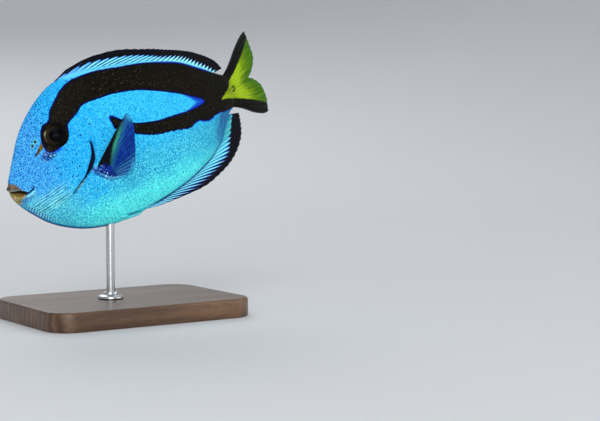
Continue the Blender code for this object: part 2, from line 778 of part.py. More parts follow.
def rounded_rectangle(length, width, radius, steps=6):
    """The corners of a rounded rectangle, in order."""
    points = []
    for quarter, (x, y) in enumerate(((1, 1), (-1, 1), (-1, -1), (1, -1))):
        for k in range(steps + 1):
            turn = math.pi / 2 * (quarter + k / steps)
            centre = Vector((x * (length / 2 - radius), y * (width / 2 - radius), 0))
            points.append(centre + radius * Vector((math.cos(turn), math.sin(turn), 0)))
    return points


def stand_base(at):
    """The flat base, its upper rim bevelled, with a blind hole for the rod."""
    length, width, thick = BASE_SIZE
    rings = []
    for inset, z in ((0, 0), (0, thick - BASE_EDGE_BEVEL), (0.3 * BASE_EDGE_BEVEL, thick - 0.3 * BASE_EDGE_BEVEL),
                     (BASE_EDGE_BEVEL, thick)):
        edge = rounded_rectangle(length - 2 * inset, width - 2 * inset, BASE_CORNER_RADIUS - inset)
        rings.append([point + Vector((BASE_CENTRE_FROM_SNOUT, at.y, z - SNOUT_HEIGHT)) for point in edge])
    base = lofted("stand_base", rings, "walnut")
    top = Vector((at.x, at.y, thick - SNOUT_HEIGHT))
    hole = tube("socket", [top - Vector((0, 0, ROD_IN_BASE + GAP)), top + Vector((0, 0, thick))],
                [ROD_RADIUS + GAP] * 2, ROD_SIDES, "walnut")
    return keep_largest(combine(base, hole, "DIFFERENCE"))


def stand_rod(at):
    """The upright rod, from its hole in the base to its hole in the belly."""
    foot = Vector((at.x, at.y, BASE_SIZE[2] - ROD_IN_BASE - SNOUT_HEIGHT))
    head = at + Vector((0, 0, ROD_IN_BODY))
    return tube("stand_rod", [foot, head], [ROD_RADIUS] * 2, ROD_SIDES, "steel")


def stand_collar(at):
    """The turned ring that hides the rod's hole in the base."""
    sides = 22
    floor = BASE_SIZE[2] + GAP - SNOUT_HEIGHT
    inner = ROD_RADIUS + GAP
    section = (
        (inner, 0), (COLLAR_RADIUS, 0), (COLLAR_RADIUS, 0.35), (0.9 * COLLAR_RADIUS, 0.5),
        (0.62 * COLLAR_RADIUS, 0.62), (0.55 * COLLAR_RADIUS, 1), (inner, 1),
    )
    made = bmesh.new()
    rings = []
    for k in range(sides):
        turn = 2 * math.pi * k / sides
        ring = []
        for radius, rise in section:
            place = Vector((radius * math.cos(turn), radius * math.sin(turn), floor + rise * COLLAR_HEIGHT))
            ring.append(made.verts.new(place + Vector((at.x, at.y, 0))))
        rings.append(ring)
    for k in range(sides):
        one, two = rings[k], rings[(k + 1) % sides]
        for i in range(len(section)):
            j = (i + 1) % len(section)
            made.faces.new((one[i], one[j], two[j], two[i]))
    bmesh.ops.triangulate(made, faces=made.faces)
    return solid("stand_collar", made, "steel")


def fish():
    """Every node of the fish, in the fish's own frame."""
    nodes = flesh()
    nodes += [dorsal_fin(), anal_fin(), caudal_fin()]
    for side_name, hand in (("left", -1), ("right", 1)):
        nodes.append(eye_shape(f"eye_{side_name}", hand, 0))
        nodes.append(pectoral_fin(f"pectoral_fin_{side_name}", hand))
        nodes.append(pelvic_fin(f"pelvic_fin_{side_name}", hand))
        nodes.append(tail_spine(f"tail_spine_{side_name}", hand))
    return nodes


def main():
    for leftover in list(bpy.data.objects):
        bpy.data.objects.remove(leftover)
    display = bpy.data.objects.new("display", None)
    tipped = bpy.data.objects.new("tipped_fish", None)
    for empty in (display, tipped):
        bpy.context.scene.collection.objects.link(empty)
    tipped.parent = display
    tipped.rotation_euler = (0, -NOSE_DOWN, 0)
    for node in fish():
        node.parent = tipped
    at = rod_place()
    for node in (stand_base(at), stand_rod(at), stand_collar(at)):
        node.parent = display
    bpy.context.view_layer.update()
    corners = [
        node.matrix_world @ vert.co
        for node in bpy.context.scene.objects
        if node.type == "MESH"
        for vert in node.data.vertices
    ]
    low = [min(corner[k] for corner in corners) for k in range(3)]
    high = [max(corner[k] for corner in corners) for k in range(3)]
    display.location = (-(low[0] + high[0]) / 2, -(low[1] + high[1]) / 2, -low[2])


main()
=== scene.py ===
"""The looks of the regal blue tang: its skin, fins, eyes and stand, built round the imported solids.

Lengths in the fish's own frame are in millimetres: s runs from the snout along the curved midline, side
runs across it (negative on the fish's left) and h runs up. Finished meshes are in metres.
"""

import math
from dataclasses import dataclass

import bmesh
import bpy
import numpy as np
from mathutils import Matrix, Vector


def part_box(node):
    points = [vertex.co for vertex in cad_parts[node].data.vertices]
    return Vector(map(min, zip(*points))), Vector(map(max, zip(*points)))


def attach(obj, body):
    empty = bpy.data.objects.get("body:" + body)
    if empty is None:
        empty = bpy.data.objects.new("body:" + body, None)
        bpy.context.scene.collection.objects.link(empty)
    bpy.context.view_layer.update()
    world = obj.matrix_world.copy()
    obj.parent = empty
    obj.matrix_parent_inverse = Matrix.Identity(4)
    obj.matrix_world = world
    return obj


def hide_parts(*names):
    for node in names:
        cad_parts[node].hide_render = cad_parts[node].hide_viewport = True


MM = 0.001

# The fish's driving sizes, as in the solids
STANDARD_LENGTH = 130.0
SNOUT_HEIGHT = 62.0
NOSE_DOWN = math.radians(20.8)
HEAD_YAW = math.radians(-13.3)
TAIL_BASE_YAW = math.radians(23.7)
BEND_STARTS = 0.28 * STANDARD_LENGTH
LENS = 0.58
BACK = [
    (0, -2.2), (0.7, 2.0), (2.7, 5.6), (6.7, 12.3), (11.5, 19.8), (15.7, 24.8), (20.6, 29.4), (27.2, 34.2),
    (34.2, 37.6), (41, 39), (48, 39), (55, 38), (66.7, 35.4), (79.9, 32), (89.9, 28.9), (101.2, 24.4),
    (112.6, 17.8), (122, 11.6), (128, 8.6), (134, 8),
]
BELLY = [
    (0, -2.2), (0.4, -5.6), (2.7, -10.7), (6.5, -15.9), (12.3, -22.4), (18.8, -27.1), (25.9, -30.7),
    (33.4, -33), (41.5, -34.2), (50.4, -34), (60, -33), (70.6, -31.8), (80, -30.4), (87, -29),
    (96.1, -26.6), (102, -24.7), (107.8, -21.8), (113, -17.9), (118.5, -12.9), (122.5, -10.4),
    (127.1, -8.8), (134, -8.2),
]
HALF_WIDTH = [
    (0, 0), (0.7, 2.2), (2.7, 3.7), (6.7, 5.4), (11.5, 6.9), (20, 8.9), (30, 10.3), (40, 11), (50, 11.2),
    (60, 10.9), (70, 10.2), (80, 9.2), (90, 7.9), (100, 6.5), (110, 5), (120, 3.6), (127, 2.8), (134, 2.2),
]
WIDEST_LEVEL = [(0, -2.2), (10, -2), (25, 1), (45, 2), (70, 2.5), (100, 1.5), (134, 0)]

# Head
EYE = (27.0, 16.6)
EYE_RADII = (6.2, 6.2, 2.7)
EYE_SUNK = 1.3
PUPIL_RADIUS = 2.95
ORBIT_BULGE = 0.9
ORBIT_SPREAD = 7.5
LID_RADIUS = 5.55
GILL_MARGIN = [
    (39.4, 11.8), (39.9, 8.8), (39.8, 6.0), (39.3, 3.9), (38.2, 1.4), (36.2, -1.6), (34.3, -4.3),
    (32.0, -6.5), (29.4, -8.4), (26.8, -10.3), (24.1, -12.6),
]
GILL_STATION = 33.0
GILL_WINDOW = 19.0
NOSTRILS = [(17.8, 16.5), (16.0, 15.1)]
MOUTH_LINE = [(0, -1.9), (1.5, -2.6), (3, -3.2), (5, -4.0), (7.2, -4.7), (8.2, -4.9)]
MOUTH_GAPE = [
    (-0.6, -1.2), (0.6, -1.9), (2.9, -2.1), (4.5, -2.5), (5.9, -3.4), (7.3, -4.6), (5.5, -4.7), (4, -5.1),
    (2.4, -4.8), (1.1, -3.6), (0.2, -2.4),
]
UNDER_EYE = (21.2, 9.0)

# Fins
DORSAL_SPINES = 9
DORSAL_RAYS = 30
DORSAL_FEET = [
    (0, 37.5), (0.097, 50), (0.253, 64), (0.404, 81), (0.569, 95.5), (0.726, 105.5), (0.864, 113.8),
    (1, 121.5),
]
DORSAL_TIPS = [
    (0, 43.5, 41.4), (0.045, 54, 42.9), (0.097, 64, 42.4), (0.253, 84, 37.0), (0.404, 96, 32.6),
    (0.569, 104.6, 29.1), (0.726, 113.6, 24.9), (0.864, 121.6, 19.9), (0.96, 126.0, 15.4), (1, 128.3, 11.9),
]
DORSAL_BLACK_EDGE = [
    (36, 38.6), (42, 39.9), (49, 40.8), (57, 40.8), (62, 40.1), (67.7, 39.1), (77.2, 36.6), (84.6, 34.1),
    (92.1, 31.2), (99.8, 28.5), (106.3, 25.2), (112.5, 21.1), (117.6, 17.5), (121.9, 13.8), (130, 6),
]
ANAL_SPINES = 3
ANAL_RAYS = 22
ANAL_FEET = [(0, 57.5), (0.17, 67), (0.5, 91), (0.74, 106.5), (1, 122.5)]
ANAL_TIPS = [
    (0, 64, -34.8), (0.17, 79.5, -35.7), (0.27, 92, -36.2), (0.38, 103, -34.8), (0.5, 113, -32.4),
    (0.64, 121.5, -27.7), (0.74, 126.8, -23.2), (0.86, 130.4, -17.8), (1, 131.5, -12.6),
]
ANAL_SWEEP = 0.12
ANAL_BLACK_EDGE = [
    (50, -34.6), (64, -34.6), (73.8, -35.0), (80.2, -34.9), (87.5, -34.4), (95.2, -33.2), (102.6, -31.6),
    (106.9, -30.4), (110.7, -29.0), (114.2, -26.4), (117, -22.8), (120.5, -18), (124, -13), (128, -9),
]
CAUDAL_ROOT = 126.0
CAUDAL_ROOT_HEIGHT = 7.4
CAUDAL_RAYS = 16
CAUDAL_MIDDLE_TIP = 151.5
CAUDAL_LOBE_TIP = 166.0
CAUDAL_CORNER_CUT = 3.0
CAUDAL_TIP_HEIGHT = 21.6
CAUDAL_NOTCH = 0.22
CAUDAL_SPREAD = [
    (0, 0), (0.14, 0.13), (0.28, 0.31), (0.4, 0.49), (0.51, 0.65), (0.68, 0.84), (0.83, 0.96), (1, 1),
]
PECTORAL_ROOT = [(39.3, -4.6), (44.8, -10.4)]
PECTORAL_RAYS = 14
PECTORAL_TIPS = [
    (0, 54.6, 17.9, 26.5), (0.09, 55.7, 15.9, 26.2), (0.25, 56.1, 10.0, 25.0), (0.45, 55.3, 4.2, 23.5),
    (0.65, 54.2, -1.6, 22.0), (0.85, 52.8, -7.4, 20.0), (1, 50.6, -11.2, 18.0),
]
PELVIC_ROOT = [(43.5, -31.3), (45.0, -33.6)]
PELVIC_RAYS = 5
PELVIC_TIPS = [(0, 54.0, -32.5), (0.5, 56.3, -33.2), (1, 52.6, -34.7)]
PELVIC_STANDS_OFF = 1.3
TAIL_SPINE = [(129.5, 0.5), (122.3, 0.2)]
BLADE_FOOT = (132.6, -0.3)

# Markings on the body's side
BLACK_OUTLINE = [
    (21.2, 19.2), (23.3, 22.3), (26.4, 23.5), (29.1, 27.8), (34.1, 32.2), (37.7, 34.9), (43.3, 36.7),
    (54.3, 36.6), (65.7, 34.4), (79, 31.6), (89.3, 28.2), (100.5, 23.7), (111.3, 17.0), (120, 12.6),
    (126, 10.4), (140, 12), (140, 7.6), (130.6, 4.2), (124, 1.5), (116.8, -0.8), (124, -2.6), (130, -4.4),
    (140, -7.8), (140, -12), (128, -8.6), (118, -7.4), (110.2, -5.9), (102.7, -6.5), (94.7, -3.9),
    (89.5, -5.2), (79.7, -2.6), (69.8, -0.4), (60.7, 3.8), (53.1, 9.1), (52.2, 11.9), (52.5, 15.8),
    (57.2, 12.2), (62.5, 8.4), (73, 5.3), (82.3, 4), (92.9, 2.7), (103.4, 3.1), (95.8, 8.4), (88, 13),
    (78.9, 17.6), (69.5, 21.7), (59.2, 24.3), (51.2, 25.1), (43.3, 25), (40.2, 23), (37.1, 21.1),
    (33.8, 19.0), (32.8, 15.6), (31.0, 13.0), (27.8, 11.1), (24.8, 9.9), (22.3, 9.8), (20.8, 10.9),
    (20.4, 12.8), (20.1, 15.2), (20.4, 16.8),
]
YELLOW_WEDGE = [
    (116.8, -0.8), (121.8, 0.8), (127, 2.5), (131, 4.3), (135, 5.7), (139.2, 7.2), (144.3, 9.5),
    (150.6, 12), (157.3, 15), (163.3, 17.5), (176, 23.5), (176, -23.5), (163.3, -17.5), (150.6, -12),
    (139.2, -7.6), (131.8, -4.9), (127, -3.7), (121.8, -1.9),
]
LIP_PATCH = [
    (-1, 1.9), (1.2, 1.7), (2.9, 0.8), (4.5, -1.2), (5.8, -2.9), (6.9, -4.5), (4.9, -5.7), (3.6, -6.5),
    (2.7, -8.2), (0, -9), (-3, -4),
]
EYE_STREAK = [
    (21.6, 16.2), (19.6, 15.0), (17.5, 12.8), (15.4, 10.3), (16.8, 10.7), (18.6, 11.9), (20.6, 13.2),
    (22, 14),
]
EYE_FURROW = [(18.2, 12.8), (16.9, 11.5), (15.3, 10.3)]
JAW_FOLD = [(5.6, -4.9), (6.5, -4.6), (8, -4.2), (9.7, -3.3), (10.4, -2.6)]
FIN_FOOT = [
    (37.0, -4.6), (39.2, -3.4), (42, -6.0), (45, -8.0), (49.5, -8.6), (54, -7.6), (52.4, -11),
    (47.5, -11.9), (43.2, -11.0), (40.6, -9.2), (38.2, -7),
]
FIN_FOLD = [
    (38.2, -3.6), (38.4, -5.4), (39.3, -7.4), (41.2, -9.9), (43.6, -11.6), (46.4, -12.4), (49.6, -12.6),
]

# Camera, from the snout
CAMERA_FROM_SNOUT = (-276.17, -636.09, 37.35)
CAMERA_AZIMUTH = math.radians(-34.5)
CAMERA_ELEVATION = math.radians(4.0)
CAMERA_LENS = 90.0

# Stand
ROD_AT = 38.5
BASE_BEVEL = 1.4 * MM
BASE_CORNER = 12 * MM
CORNER_POINTS = 17
CRISP_ANGLE = math.radians(35)

# Skin
RING_POINTS = 300
SKIN_END = 134.0
SNOUT_LEVEL = -2.2
GILL_COVER_LIFT = 0.6
GILL_GROOVE_DEPTH = 1.6
EYE_SOCKET_DEPTH = 2.3
LID_RIM = 0.22
NOSTRIL_DEPTH = 0.45
GAPE_DEPTH = 1.3
WINDOW_DOME = 0.22

# Colours
BAND_BLACK = (0.003, 0.0028, 0.0014)
BAND_BROWN = (0.015, 0.0125, 0.005)
BAND_EDGE = (0.0012, 0.0015, 0.045)
GOLD = (0.24, 0.2, 0.11)
ROYAL = (0.003, 0.022, 0.58)
FIN_BLACK = (0.0045, 0.0045, 0.0075)
FOREHEAD_BLUE = (0.065, 0.44, 1)
CHEEK_BLUE = (0.01, 0.48, 1)
OVAL_BLUE = (0.024, 0.56, 0.98)
FLANK_CYAN = (0.026, 0.48, 0.78)
BELLY_CYAN = (0.1, 1, 1)
THROAT_GREY = (0.075, 0.58, 0.8)
STRIP_CYAN = (0.17, 0.76, 1)
ANAL_CYAN = (0.075, 0.62, 0.85)
PALE_CYAN = (0.32, 0.94, 1)
YELLOW = (0.27, 0.43, 0.004)
YELLOW_GREEN = (0.055, 0.175, 0.001)
RING_OLIVE = (0.045, 0.06, 0.006)

# Patterns, per millimetre
SCALES_PER_MM = 2.05
NET_PER_MM = 0.94
FLECKS_PER_MM = 0.75
DOTS_PER_MM = 0.31
LOOPS_PER_MM = 0.68

# Stage, in metres
FLAT_RADIUS = 0.6
BOWL_RADIUS = 2.6
LIT_POINT = (0, 0, 0.08)
SKY = (0.95, 0.97, 1, 1)
SKY_STRENGTH = 0.55


def cubic(points, x):
    """A smooth curve through (place, value) points, read at x."""
    keys, values = np.array(points, float).T
    steps = np.diff(keys)
    slopes = np.diff(values) / steps
    inner = (steps[1:] * slopes[:-1] + steps[:-1] * slopes[1:]) / (steps[1:] + steps[:-1])
    tangents = np.concatenate([[2 * slopes[0] - inner[0]], inner, [2 * slopes[-1] - inner[-1]]])
    i = np.clip(np.searchsorted(keys, x, side="right") - 1, 0, len(steps) - 1)
    t = (x - keys[i]) / steps[i]
    level = values[i] * (1 + 2 * t) * (1 - t) ** 2 + values[i + 1] * t * t * (3 - 2 * t)
    return level + steps[i] * (tangents[i] * t * (1 - t) ** 2 + tangents[i + 1] * t * t * (t - 1))


def profile(points, s):
    """The height of an outline at s, rounded at the snout."""
    return cubic([(math.sqrt(place), value) for place, value in points], np.sqrt(np.maximum(s, 0)))


def read_at(rows, share):
    """Each further column of the rows, read at a share of a fin's base."""
    keys, *columns = zip(*rows)
    return [cubic(list(zip(keys, column)), share) for column in columns]


def ease(low, high, x):
    """0 below low, 1 above high, and smooth between them. low may be the greater one."""
    t = np.clip((np.asarray(x, float) - low) / (high - low), 0, 1)
    return t * t * (3 - 2 * t)


def bump(x, width):
    """1 at x = 0, and fading out over width."""
    return np.exp(-((np.asarray(x, float) / width) ** 2))


def bent(s, side, h):
    """Points of the straight fish, carried onto the curved midline."""
    s, side, h = np.broadcast_arrays(s, side, h)
    curvature = (TAIL_BASE_YAW - HEAD_YAW) / (STANDARD_LENGTH - BEND_STARTS)
    heading = HEAD_YAW + np.maximum(0, s - BEND_STARTS) * curvature
    straight = np.minimum(s, BEND_STARTS)
    x = straight * math.cos(HEAD_YAW) + (np.sin(heading) - math.sin(HEAD_YAW)) / curvature
    y = straight * math.sin(HEAD_YAW) - (np.cos(heading) - math.cos(HEAD_YAW)) / curvature
    return np.stack([x - side * np.sin(heading), y + side * np.cos(heading), h], -1)


def tipped(points):
    """Turns points of the fish nose down."""
    c, n = math.cos(NOSE_DOWN), math.sin(NOSE_DOWN)
    x, y, z = np.moveaxis(points, -1, 0)
    return np.stack([x * c - z * n, y, x * n + z * c], -1)


def snout_place():
    """Where the snout is in the part's frame, in millimetres, found from the rod and the base."""
    rod_low, rod_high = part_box("stand_rod")
    base_low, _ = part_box("stand_base")
    rod = (rod_low + rod_high) / 2 / MM
    foot = tipped(bent(ROD_AT, 0, profile(BELLY, ROD_AT)))
    return np.array([rod.x - foot[0], rod.y - foot[1], base_low.z / MM + SNOUT_HEIGHT])


def placed(points):
    """Points of the fish, in the part's frame and in metres."""
    return (tipped(np.asarray(points)) + SNOUT) * MM


def smooth_path(points, spacing, closed=False):
    """A smooth line through the points, in short even steps."""
    points = np.asarray(points, float)
    if closed:
        points = np.concatenate([points[-1:], points, points[:2]])
    else:
        points = np.concatenate([2 * points[:1] - points[1:2], points, 2 * points[-1:] - points[-2:-1]])
    found = []
    for a, b, c, d in zip(points, points[1:], points[2:], points[3:]):
        count = max(1, round(float(np.linalg.norm(c - b)) / spacing))
        t = (np.arange(count) / count)[:, None]
        bow = (2 * a - 5 * b + 4 * c - d) * t**2 + (3 * b - a - 3 * c + d) * t**3
        found.append(0.5 * (2 * b + (c - a) * t + bow))
    if not closed:
        found.append(points[-2:-1])
    return np.concatenate(found)


def distance_to(path, s, h):
    """How far each (s, h) is from a line of points."""
    nearest = np.full(s.shape, 1e9)
    for (s0, h0), (s1, h1) in zip(path, path[1:]):
        ds, dh, rs, rh = s1 - s0, h1 - h0, s - s0, h - h0
        t = np.clip((rs * ds + rh * dh) / max(ds * ds + dh * dh, 1e-12), 0, 1)
        nearest = np.minimum(nearest, np.hypot(rs - t * ds, rh - t * dh))
    return nearest


def side_of(path, s, h):
    """Signed distance to an open line of points, positive on its left."""
    away = distance_to(path, s, h)
    found = away.copy()
    for (s0, h0), (s1, h1) in zip(path, path[1:]):
        ds, dh, rs, rh = s1 - s0, h1 - h0, s - s0, h - h0
        t = (rs * ds + rh * dh) / (ds * ds + dh * dh)
        across = (ds * rh - dh * rs) / math.hypot(ds, dh)
        on_this = (t >= -0.02) & (t <= 1.02) & (np.abs(np.abs(across) - away) < 1e-3)
        found = np.where(on_this, across, found)
    return found


def depth_inside(outline, s, h, spacing=1.0):
    """Signed distance to a smooth closed outline, positive inside it."""
    path = smooth_path(outline, spacing, closed=True)
    path = np.concatenate([path, path[:1]])
    within = np.zeros(s.shape, bool)
    for (s0, h0), (s1, h1) in zip(path, path[1:]):
        if h0 != h1:
            crosses = (h0 > h) != (h1 > h)
            within ^= crosses & (s < (s1 - s0) * (h - h0) / (h1 - h0) + s0)
    away = distance_to(path, s, h)
    return np.where(within, away, -away)


def orbit_relief(s, h):
    """How far the flesh swells round the eye."""
    return ORBIT_BULGE * bump(np.hypot(s - EYE[0], h - EYE[1]), ORBIT_SPREAD)


def half_width(s, h):
    """How far the plain side lies from the midline, with the swelling round the eye."""
    top, bottom, width, middle = (profile(p, s) for p in (BACK, BELLY, HALF_WIDTH, WIDEST_LEVEL))
    share = np.where(h > middle, (h - middle) / (top - middle), (middle - h) / (middle - bottom))
    lens = np.maximum(0, 1 - share * share) ** LENS
    return width * lens + orbit_relief(s, h) * np.minimum(1, 2 * lens)


def skin_axes(s, h, hand, proud=0.0):
    """A point on the side and three directions there: tailwards, up the side and outwards."""
    step = 0.5

    def point(a, b):
        return bent(a, hand * half_width(a, b), b)

    along = point(s + step, h) - point(s - step, h)
    outward = np.cross(along, point(s, h + step) - point(s, h - step))
    outward *= np.sign(outward[1] * hand) / np.linalg.norm(outward)
    along /= np.linalg.norm(along)
    return point(s, h) + outward * proud, along, np.cross(outward, along), outward


def turns(columns):
    """Even angles round a ring."""
    return 2 * math.pi * np.arange(columns) / columns


def put_in(name, data):
    """A new object in the scene."""
    thing = bpy.data.objects.new(name, data)
    bpy.context.scene.collection.objects.link(thing)
    return thing


def name_values(mesh, values):
    """Gives each point of a mesh its named values."""
    for key, found in values.items():
        found = np.asarray(found, np.float32)
        kind, field = ("FLOAT", "value") if found.ndim == 1 else ("FLOAT_VECTOR", "vector")
        mesh.attributes.new(key, kind, "POINT").data.foreach_set(field, found.ravel())


def face_outwards(mesh):
    """Turns every face of a closed mesh outwards."""
    made = bmesh.new()
    made.from_mesh(mesh)
    bmesh.ops.recalc_face_normals(made, faces=made.faces)
    if made.calc_volume(signed=True) < 0:
        bmesh.ops.reverse_faces(made, faces=made.faces)
    made.to_mesh(mesh)
    made.free()


def fitted(mesh, nodes):
    """A finished mesh as a piece of the model, in the place of the solids named in nodes."""
    piece = put_in(mesh.name, mesh)
    if nodes:
        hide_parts(*nodes)
    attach(piece, "root")


def new_piece(name, points, faces, finish, nodes=(), values=None, crisp=False):
    """A closed piece from points in metres, with its named values per point."""
    mesh = bpy.data.meshes.new(name)
    mesh.from_pydata(np.asarray(points).reshape(-1, 3).tolist(), [], faces)
    mesh.materials.append(finish)
    name_values(mesh, values or {})
    face_outwards(mesh)
    mesh.shade_smooth()
    if crisp:
        mesh.set_sharp_from_angle(angle=CRISP_ANGLE)
    fitted(mesh, nodes)


def grid_faces(rows, columns, wrapped=False, first=0):
    """Quads of a grid of points that are stored row by row. wrapped joins each row's end to its start."""
    faces = []
    for i in range(rows - 1):
        for j in range(columns if wrapped else columns - 1):
            a = first + i * columns + j
            b = first + i * columns + (j + 1) % columns
            faces.append((a, b, b + columns, a + columns))
    return faces


def tube_faces(rows, columns, first=0, poles=None):
    """Faces of a stack of rings, closed by a face at each end, or by fans to two poles."""
    faces = grid_faces(rows, columns, wrapped=True, first=first)
    for end, ring in enumerate((first, first + (rows - 1) * columns)):
        if poles is None:
            faces.append(tuple(range(ring, ring + columns)))
        else:
            faces += [(ring + j, ring + (j + 1) % columns, poles + end) for j in range(columns)]
    return faces


# Skin


def ring_stations():
    """Where the skin's rings lie: closest at the snout and beside the gill opening."""
    snout = (0.11 * np.arange(1, 13)) ** 2
    muzzle = np.arange(snout[-1] + 0.3, 14, 0.3)
    cheek = np.arange(14, GILL_STATION - 1.0, 0.42)
    near = [-0.75, -0.45, -0.22, -0.08, 0, 0.05, 0.25, 0.5, 0.75, 0.95, 1.2, 1.5, 1.9, 2.3]
    flank = np.arange(GILL_STATION + 2.8, SKIN_END - 2, 0.56)
    end = SKIN_END - np.array([1.6, 1.1, 0.7, 0.4, 0.15, 0])
    near = GILL_STATION + np.array(near)
    return np.concatenate([snout, muzzle, cheek, near, flank[flank < SKIN_END - 1.9], end])


def gill_shift(h):
    """How far the gill opening lies from its station, by level, held steady above and below it."""
    edge = [(level, place) for place, level in reversed(GILL_MARGIN)]
    low, high = edge[0][0], edge[-1][0]
    line = [(low - 6, 23.0), *edge, (high + 8, 37.0)]
    return cubic(line, np.clip(h, low - 3, high + 3)) - GILL_STATION


def skin_grid():
    """The (s, h), lens share, hand and station of each point of the skin, ring by ring."""
    stations = ring_stations()[:, None] + np.zeros(RING_POINTS)
    turn = turns(RING_POINTS) + 0 * stations
    v = np.cos(turn)
    slide = np.cos(np.clip((stations - GILL_STATION) / GILL_WINDOW, -1, 1) * math.pi / 2) ** 2
    s = stations
    for _ in range(8):
        top, bottom, middle = (profile(p, s) for p in (BACK, BELLY, WIDEST_LEVEL))
        h = middle + np.where(v > 0, top - middle, middle - bottom) * v
        s = stations + slide * gill_shift(h)
    return s, h, np.abs(np.sin(turn)) ** (2 * LENS), np.where(turn < math.pi, -1.0, 1.0), stations


def mouth_level(s):
    """The height of the line where the lips meet."""
    return cubic(MOUTH_LINE, np.clip(s, 0, 9))


def lips_relief(s, h):
    """How far the lips stand out round the gape, and the gape sinks in."""
    gape = depth_inside(MOUTH_GAPE, s, h, 0.4)
    below = mouth_level(s) - h
    upper = 1.0 * bump(gape + 0.75, 0.85) * ease(0.3, -0.5, below)
    lower = 1.15 * bump(gape + 1.0, 1.15) * ease(-0.3, 0.5, below) * (1 - 0.75 * ease(1.6, 0.2, s))
    return ease(8.4, 4.5, s) * (upper + lower) - GAPE_DEPTH * ease(-0.15, 0.75, gape), gape


def skin_relief(s, h, station):
    """How far the skin stands out from the plain body, and where its creases are, for the painted shade in
    them and the painted highlights beside them.
    """
    behind = station - GILL_STATION
    opening = ease(-13.2, -11.0, h) * ease(12.5, 5.0, h)
    wide = 1.35 + 2.0 * bump(h + 1.6, 4.6)
    cover = GILL_COVER_LIFT * np.exp(np.minimum(behind, 0) / 7) * (behind <= 0)
    cover *= 1 - 0.35 * bump(behind, 0.25)
    groove = GILL_GROOVE_DEPTH * ease(-0.02, 0.06, behind) * ease(wide + 1.4, wide - 0.3, behind)
    rise = opening * (cover - groove)
    # Mask for painting the gill slit near black, as painted shade in its groove.
    crease_shade = opening * ease(0, 0.08, behind) * ease(wide + 0.25, wide - 0.2, behind)
    # Mask for a painted highlight along the back edge of the gill slit's lower part.
    gill_slit_highlight = opening * bump(behind - wide - 0.5, 0.38) * ease(-5.5, -8.0, h) * ease(-12.4, -10.5, h)

    from_eye = np.hypot(s - EYE[0], h - EYE[1])
    rise -= EYE_SOCKET_DEPTH * ease(LID_RADIUS + 0.1, LID_RADIUS - 0.9, from_eye)
    rise += LID_RIM * bump(from_eye - LID_RADIUS - 0.55, 0.45)
    for place in NOSTRILS:
        rise -= NOSTRIL_DEPTH * ease(0.8, 0.35, np.hypot(s - place[0], h - place[1]))

    lips, gape = lips_relief(s, h)
    furrow = distance_to(smooth_path(EYE_FURROW, 0.5), s, h)
    rise += lips - 0.3 * bump(furrow, 0.3)
    # The eye's furrow is painted dark as well, as the shade in its groove.
    crease_shade = np.maximum(crease_shade, 0.95 * bump(furrow, 0.34))
    jaw = side_of(smooth_path(JAW_FOLD, 0.5), s, h)
    rise += 0.30 * bump(jaw + 1.0, 0.5) - 0.3 * bump(jaw, 0.35)
    fold = side_of(smooth_path(FIN_FOLD, 0.6), s, h)
    rise += 0.14 * bump(fold - 0.9, 0.6) - 0.18 * bump(fold, 0.4)
    rise += 0.55 * bump(distance_to(PECTORAL_ROOT, s, h), 2.4)
    rise -= 0.32 * bump(distance_to(TAIL_SPINE, s, h), 1.1)
    crease_shade = np.clip(crease_shade, 0, 1)
    return rise, {"crease_shade": crease_shade, "gill_slit_highlight": gill_slit_highlight, "gape": gape, "jaw_fold": jaw, "fin_fold": fold}


def ray_phase(feet, edge, tips, rays, s, h):
    """Which ray of a midline fin would pass through each (s, h) if it went on into the flesh."""
    shares = np.linspace(0, 1, 400)
    (stood,) = read_at(feet, shares)
    u = np.interp(s, stood, shares)
    for _ in range(16):
        (foot,) = read_at(feet, u)
        level = profile(edge, foot)
        tip_s, tip_h = read_at(tips, u)
        reach = np.clip((h - level) / (tip_h - level), -0.5, 1)
        u = 0.5 * u + 0.5 * np.interp(s - (tip_s - foot) * reach, stood, shares)
    return u * (rays - 1)


def girths(width, h):
    """How far up or down the skin each point lies from the body's widest level, measured round its ring."""
    half = RING_POINTS // 2
    steps = np.hypot(np.diff(width[:, : half + 1], axis=1), np.diff(h[:, : half + 1], axis=1))
    run = np.concatenate([np.zeros((len(h), 1)), np.cumsum(steps, axis=1)], axis=1)
    run = run[:, half // 2, None] - run
    return np.concatenate([run, run[:, half - 1 : 0 : -1]], axis=1)


def from_blade_foot(s, h):
    """How far each (s, h) is from the tail blade's foot, in a slanting oval measure."""
    ds, dh = s - BLADE_FOOT[0], h - BLADE_FOOT[1]
    return np.hypot(ds / 1.3 + 0.3 * dh, dh - 0.25 * ds) / 1.3


def skin_markings(s, h):
    """The named values that the skin's material reads at each point."""
    halo = 1.5 * bump(np.hypot(s - 102.8, h - 3.6), 6.8) + 0.35 * bump(np.hypot(s - 52.6, h - 14.9), 1.6)
    halo += 0.1 * ease(66, 92, s) * ease(-1, 1, h - 7 + 0.2 * (s - 60)) * ease(12, 9, h)
    halo += 0.3 * ease(80, 96, s) * ease(12, 14, h) * ease(124, 118, s)
    below_fin = profile(BACK, s) - h + 3 * ease(44, 34, s) + 6 * ease(119, 124, s)
    return {
        "black": depth_inside(BLACK_OUTLINE, s, h),
        "yellow": depth_inside(YELLOW_WEDGE, s, h),
        "blade_foot": from_blade_foot(s, h),
        "lips": depth_inside(LIP_PATCH, s, h, 0.6),
        "streak": depth_inside(EYE_STREAK, s, h, 0.5),
        "lower_lip": mouth_level(s) - h,
        "keel": h - profile(BELLY, s),
        "ray": ray_phase(DORSAL_FEET, BACK, DORSAL_TIPS, DORSAL_RAYS, s, h),
        "below_fin": np.where(h > 0, below_fin, 9.0),
        "halo": np.clip(halo, 0, 1),
        "pectoral_root": depth_inside(FIN_FOOT, s, h, 0.6),
        "by_fin": ease(2.5, 1.4, distance_to(FIN_FOLD, s, h)) * ease(51, 48, s),
    }


